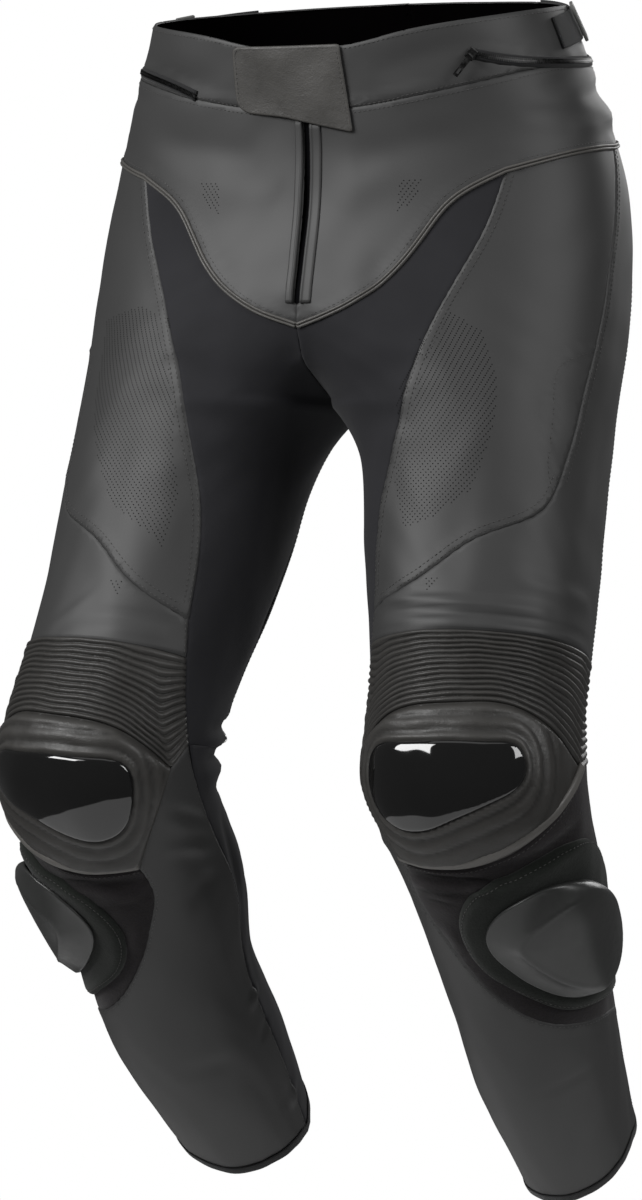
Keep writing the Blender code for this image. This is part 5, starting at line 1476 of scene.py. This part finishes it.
def sew(side, tag, seams):
    """Every row of stitches of one side as one mesh."""
    rows = []
    for piece, seam, distance, out in ROWS:
        pattern = Pattern(chained(CUTS[piece].seams, seams)[:-1])
        line = offset_row(pattern, pattern.aligned(seams[seam]), distance)
        flat = pattern.flat(line)
        keep = is_inside(flat, pattern.edge) & (pattern.from_edge(flat) > 0.75 * distance)
        if keep.sum() > 3:
            rows.append(stitch_row(line[keep], out, side))
    pad = ring_through(PAD_OUTLINE, 10)
    rows.append(closed_row(pad, 3.4, 4.35, side))
    if side == LEFT:
        rows.append(closed_row(rounded(TAB_CORNERS), 2.6, 3.25, side))
    piece = repeated(f"stitches_{tag}", template(stitch_shape), np.concatenate(rows))
    cover(piece, 0, "thread", "leather", "")


def closed_row(outline, distance, out, side):
    """Stitches all round a laid-on piece."""
    pattern = Pattern(evenly(np.concatenate([outline, outline[:1]]), 2.0)[:-1])
    line = offset_row(pattern, np.concatenate([pattern.outline, pattern.outline[:2]]), distance)
    return stitch_row(line, out, side)


# ---- ventilation holes ----------------------------------------------------------------------------
HOLE_ZONES = {  # corners of the punched fields, by side
    LEFT: [[(-18, -251), (12, -197), (30, -173), (36, -189), (30, -233), (18, -285), (8, -329),
            (-13, -355), (-27, -361), (-32, -311)]],
    RIGHT: [[(55, -179), (40, -167), (22, -179), (-12, -251), (-32, -339), (-32, -377), (-23, -367),
             (2, -347), (14, -317), (39, -233)]],
    BOTH: [[(-8, -403), (-18, -401), (-18, -413)], [(40, -55), (33, -55), (30, -83), (36, -75)]],
}


def punch(side, tag):
    """Rows of ventilation holes, staggered, over the fields of one side: each a dark disc of painted shade
    a hair over the skin.
    """
    sizes = bpy.context.scene.trouser_sizes
    pitch = sizes.hole_pitch / MM
    spots = []
    for zone in HOLE_ZONES[side] + HOLE_ZONES[BOTH]:
        pattern = Pattern(np.array(zone, float))
        low, high = pattern.edge.min(0), pattern.edge.max(0)
        for row, y in enumerate(np.arange(low[1], high[1], pitch / 2)):
            xs = np.arange(low[0] + (row % 2) * pitch / 2, high[0], pitch)
            flat = np.stack([xs, np.full(len(xs), y)], -1)
            spots.append(pattern.places(flat[is_inside(flat, pattern.edge)]))
    places = np.concatenate(spots)

    def hole(bm):
        bmesh.ops.create_circle(bm, cap_ends=True, radius=sizes.hole, segments=8)

    frames = frames_on(places, 0.12, side, heading=True)
    cover(repeated(f"holes_{tag}", template(hole), frames), 0, "pit", "leather", "")


# ---- operators ------------------------------------------------------------------------------------
class TROUSERS_OT_panels(bpy.types.Operator):
    """Wrap the leather, stretch and loop pieces round the legs"""

    bl_idname = "trousers.panels"
    bl_label = "Panels"

    def execute(self, context):
        seams = seam_rows(context.scene.trouser_sizes.grid / MM)
        for side, tag in SIDES:
            for name in CUTS:
                make_panel(name, side, tag, seams)
        return {"FINISHED"}


class TROUSERS_OT_knees(bpy.types.Operator):
    """Build the ribs, padded cups, shells and sliders of both knees"""

    bl_idname = "trousers.knees"
    bl_label = "Knees"

    def execute(self, context):
        seams = seam_rows(2.4)
        for side, tag in SIDES:
            make_ribs(side, tag, seams)
            make_cup(side, tag, seams)
            make_shell(side, tag)
            make_pad(side, tag)
            make_puck(side, tag)
        return {"FINISHED"}


class TROUSERS_OT_closures(bpy.types.Operator):
    """Add the tab, the fly, the zip, the piping, the hip straps and the hem bindings"""

    bl_idname = "trousers.closures"
    bl_label = "Closures and bindings"

    def execute(self, context):
        seams = seam_rows(4.0)
        make_tab()
        make_fly()
        make_zip()
        for side, tag in SIDES:
            make_piping(side, tag, seams)
            make_hem(side, tag, seams)
            make_hip(side, tag)
        for name in ("zip_slider", "zip_pull"):
            node = bpy.data.objects[name]
            for slot in node.material_slots:
                slot.material = cloth("metal")
        return {"FINISHED"}


class TROUSERS_OT_sewing(bpy.types.Operator):
    """Sew the stitches and punch the ventilation holes"""

    bl_idname = "trousers.sewing"
    bl_label = "Stitches and holes"

    def execute(self, context):
        seams = seam_rows(2.4)
        for side, tag in SIDES:
            sew(side, tag, seams)
            punch(side, tag)
        return {"FINISHED"}


# Lights: name, place, aimed at, width, height, power in watts
LIGHTS = [
    ("key_left", (-1.35, -2.05, 1.1), (0, 0, 0.1), 1.5, 1.2, 66),
    ("key_right", (2.7, -0.9, 1.1), (0, 0, 0), 1.4, 1.3, 34),
    ("top", (0, -0.6, 2.2), (0, 0, -0.2), 2.0, 1.6, 5),
    ("back_fill", (0.6, 3.0, 1.0), (0, 0, -0.4), 1.6, 1.6, 30),
]
FILL = 0.085                   # strength of the even light from all round
FLOOR_DROP, FLOOR_RADIUS = 0.4, 1.0
VIEW = {"azimuth": 24.0, "elevation": 3.5, "target": (0.0, -0.086, -0.400), "lens": 121.52}


def lay_floor():
    bm = bmesh.new()
    bmesh.ops.create_circle(bm, cap_ends=True, radius=FLOOR_RADIUS, segments=96)
    bmesh.ops.translate(bm, vec=(0, 0, CAD_BOX[0][2] - FLOOR_DROP), verts=bm.verts[:])
    mesh = bpy.data.meshes.new("floor")
    bm.to_mesh(mesh)
    bm.free()
    mesh.materials.append(cloth("floor"))
    linked("floor", mesh)


def aim(thing, place, towards):
    """Puts a light or the camera at a place and turns it in a direction."""
    thing.location = place
    thing.rotation_euler = towards.to_track_quat("-Z", "Y").to_euler()


def hang_lights():
    for name, place, target, wide, tall, power in LIGHTS:
        lamp = bpy.data.lights.new(name, "AREA")
        lamp.shape = "RECTANGLE"
        lamp.size, lamp.size_y, lamp.energy = wide, tall, power
        aim(linked(name, lamp), place, Vector(target) - Vector(place))


def set_world(scene):
    """Even light from all round, over white paper."""
    scene.world = bpy.data.worlds.new("studio")
    scene.world.use_nodes = True
    tree = scene.world.node_tree
    fill, paper = tree.nodes["Background"], tree.nodes.new("ShaderNodeBackground")
    for sky in (fill, paper):
        sky.inputs["Color"].default_value = (1, 1, 1, 1)
    fill.inputs["Strength"].default_value = FILL
    seen = tree.nodes.new("ShaderNodeLightPath")
    both = tree.nodes.new("ShaderNodeMixShader")
    tree.links.new(seen.outputs["Is Camera Ray"], both.inputs["Fac"])
    tree.links.new(fill.outputs["Background"], both.inputs[1])
    tree.links.new(paper.outputs["Background"], both.inputs[2])
    tree.links.new(both.outputs["Shader"], tree.nodes["World Output"].inputs["Surface"])


def set_camera(scene):
    turn, rise = (math.radians(VIEW[name]) for name in ("azimuth", "elevation"))
    away = Vector((math.sin(turn) * math.cos(rise), -math.cos(turn) * math.cos(rise), math.sin(rise)))
    camera = linked("camera", bpy.data.cameras.new("camera"))
    camera.data.lens = VIEW["lens"]
    camera.data.sensor_width = 36
    aim(camera, Vector(VIEW["target"]) + away * scene.trouser_sizes.camera_distance, -away)
    scene.camera = camera


class TROUSERS_OT_stage(bpy.types.Operator):
    """Set the floor, the soft lights and the camera"""

    bl_idname = "trousers.stage"
    bl_label = "Stage"

    def execute(self, context):
        lay_floor()
        hang_lights()
        set_world(context.scene)
        set_camera(context.scene)
        context.scene.view_settings.view_transform = "Standard"
        return {"FINISHED"}


class TROUSERS_PT_panel(bpy.types.Panel):
    """Sizes, colours and the steps that make the trousers"""

    bl_idname = "TROUSERS_PT_panel"
    bl_label = "Motorcycle trousers"
    bl_space_type = "VIEW_3D"
    bl_region_type = "UI"
    bl_category = "Trousers"

    def draw(self, context):
        layout = self.layout
        for group in (context.scene.trouser_sizes, context.scene.trouser_colours):
            for name in group.__annotations__:
                layout.prop(group, name)
        for step in STEPS:
            layout.operator(step.bl_idname)


STEPS = (TROUSERS_OT_panels, TROUSERS_OT_knees, TROUSERS_OT_closures, TROUSERS_OT_sewing,
         TROUSERS_OT_stage)
CLASSES = (TrouserSizes, TrouserColours, *STEPS, TROUSERS_PT_panel)


def register():
    for made in CLASSES:
        bpy.utils.register_class(made)
    bpy.types.Scene.trouser_sizes = PointerProperty(type=TrouserSizes)
    bpy.types.Scene.trouser_colours = PointerProperty(type=TrouserColours)


def unregister():
    del bpy.types.Scene.trouser_colours
    del bpy.types.Scene.trouser_sizes
    for made in reversed(CLASSES):
        bpy.utils.unregister_class(made)


def main():
    register()
    for step in STEPS:
        group, name = step.bl_idname.split(".")
        getattr(getattr(bpy.ops, group), name)()


if __name__ == "__main__":
    main()
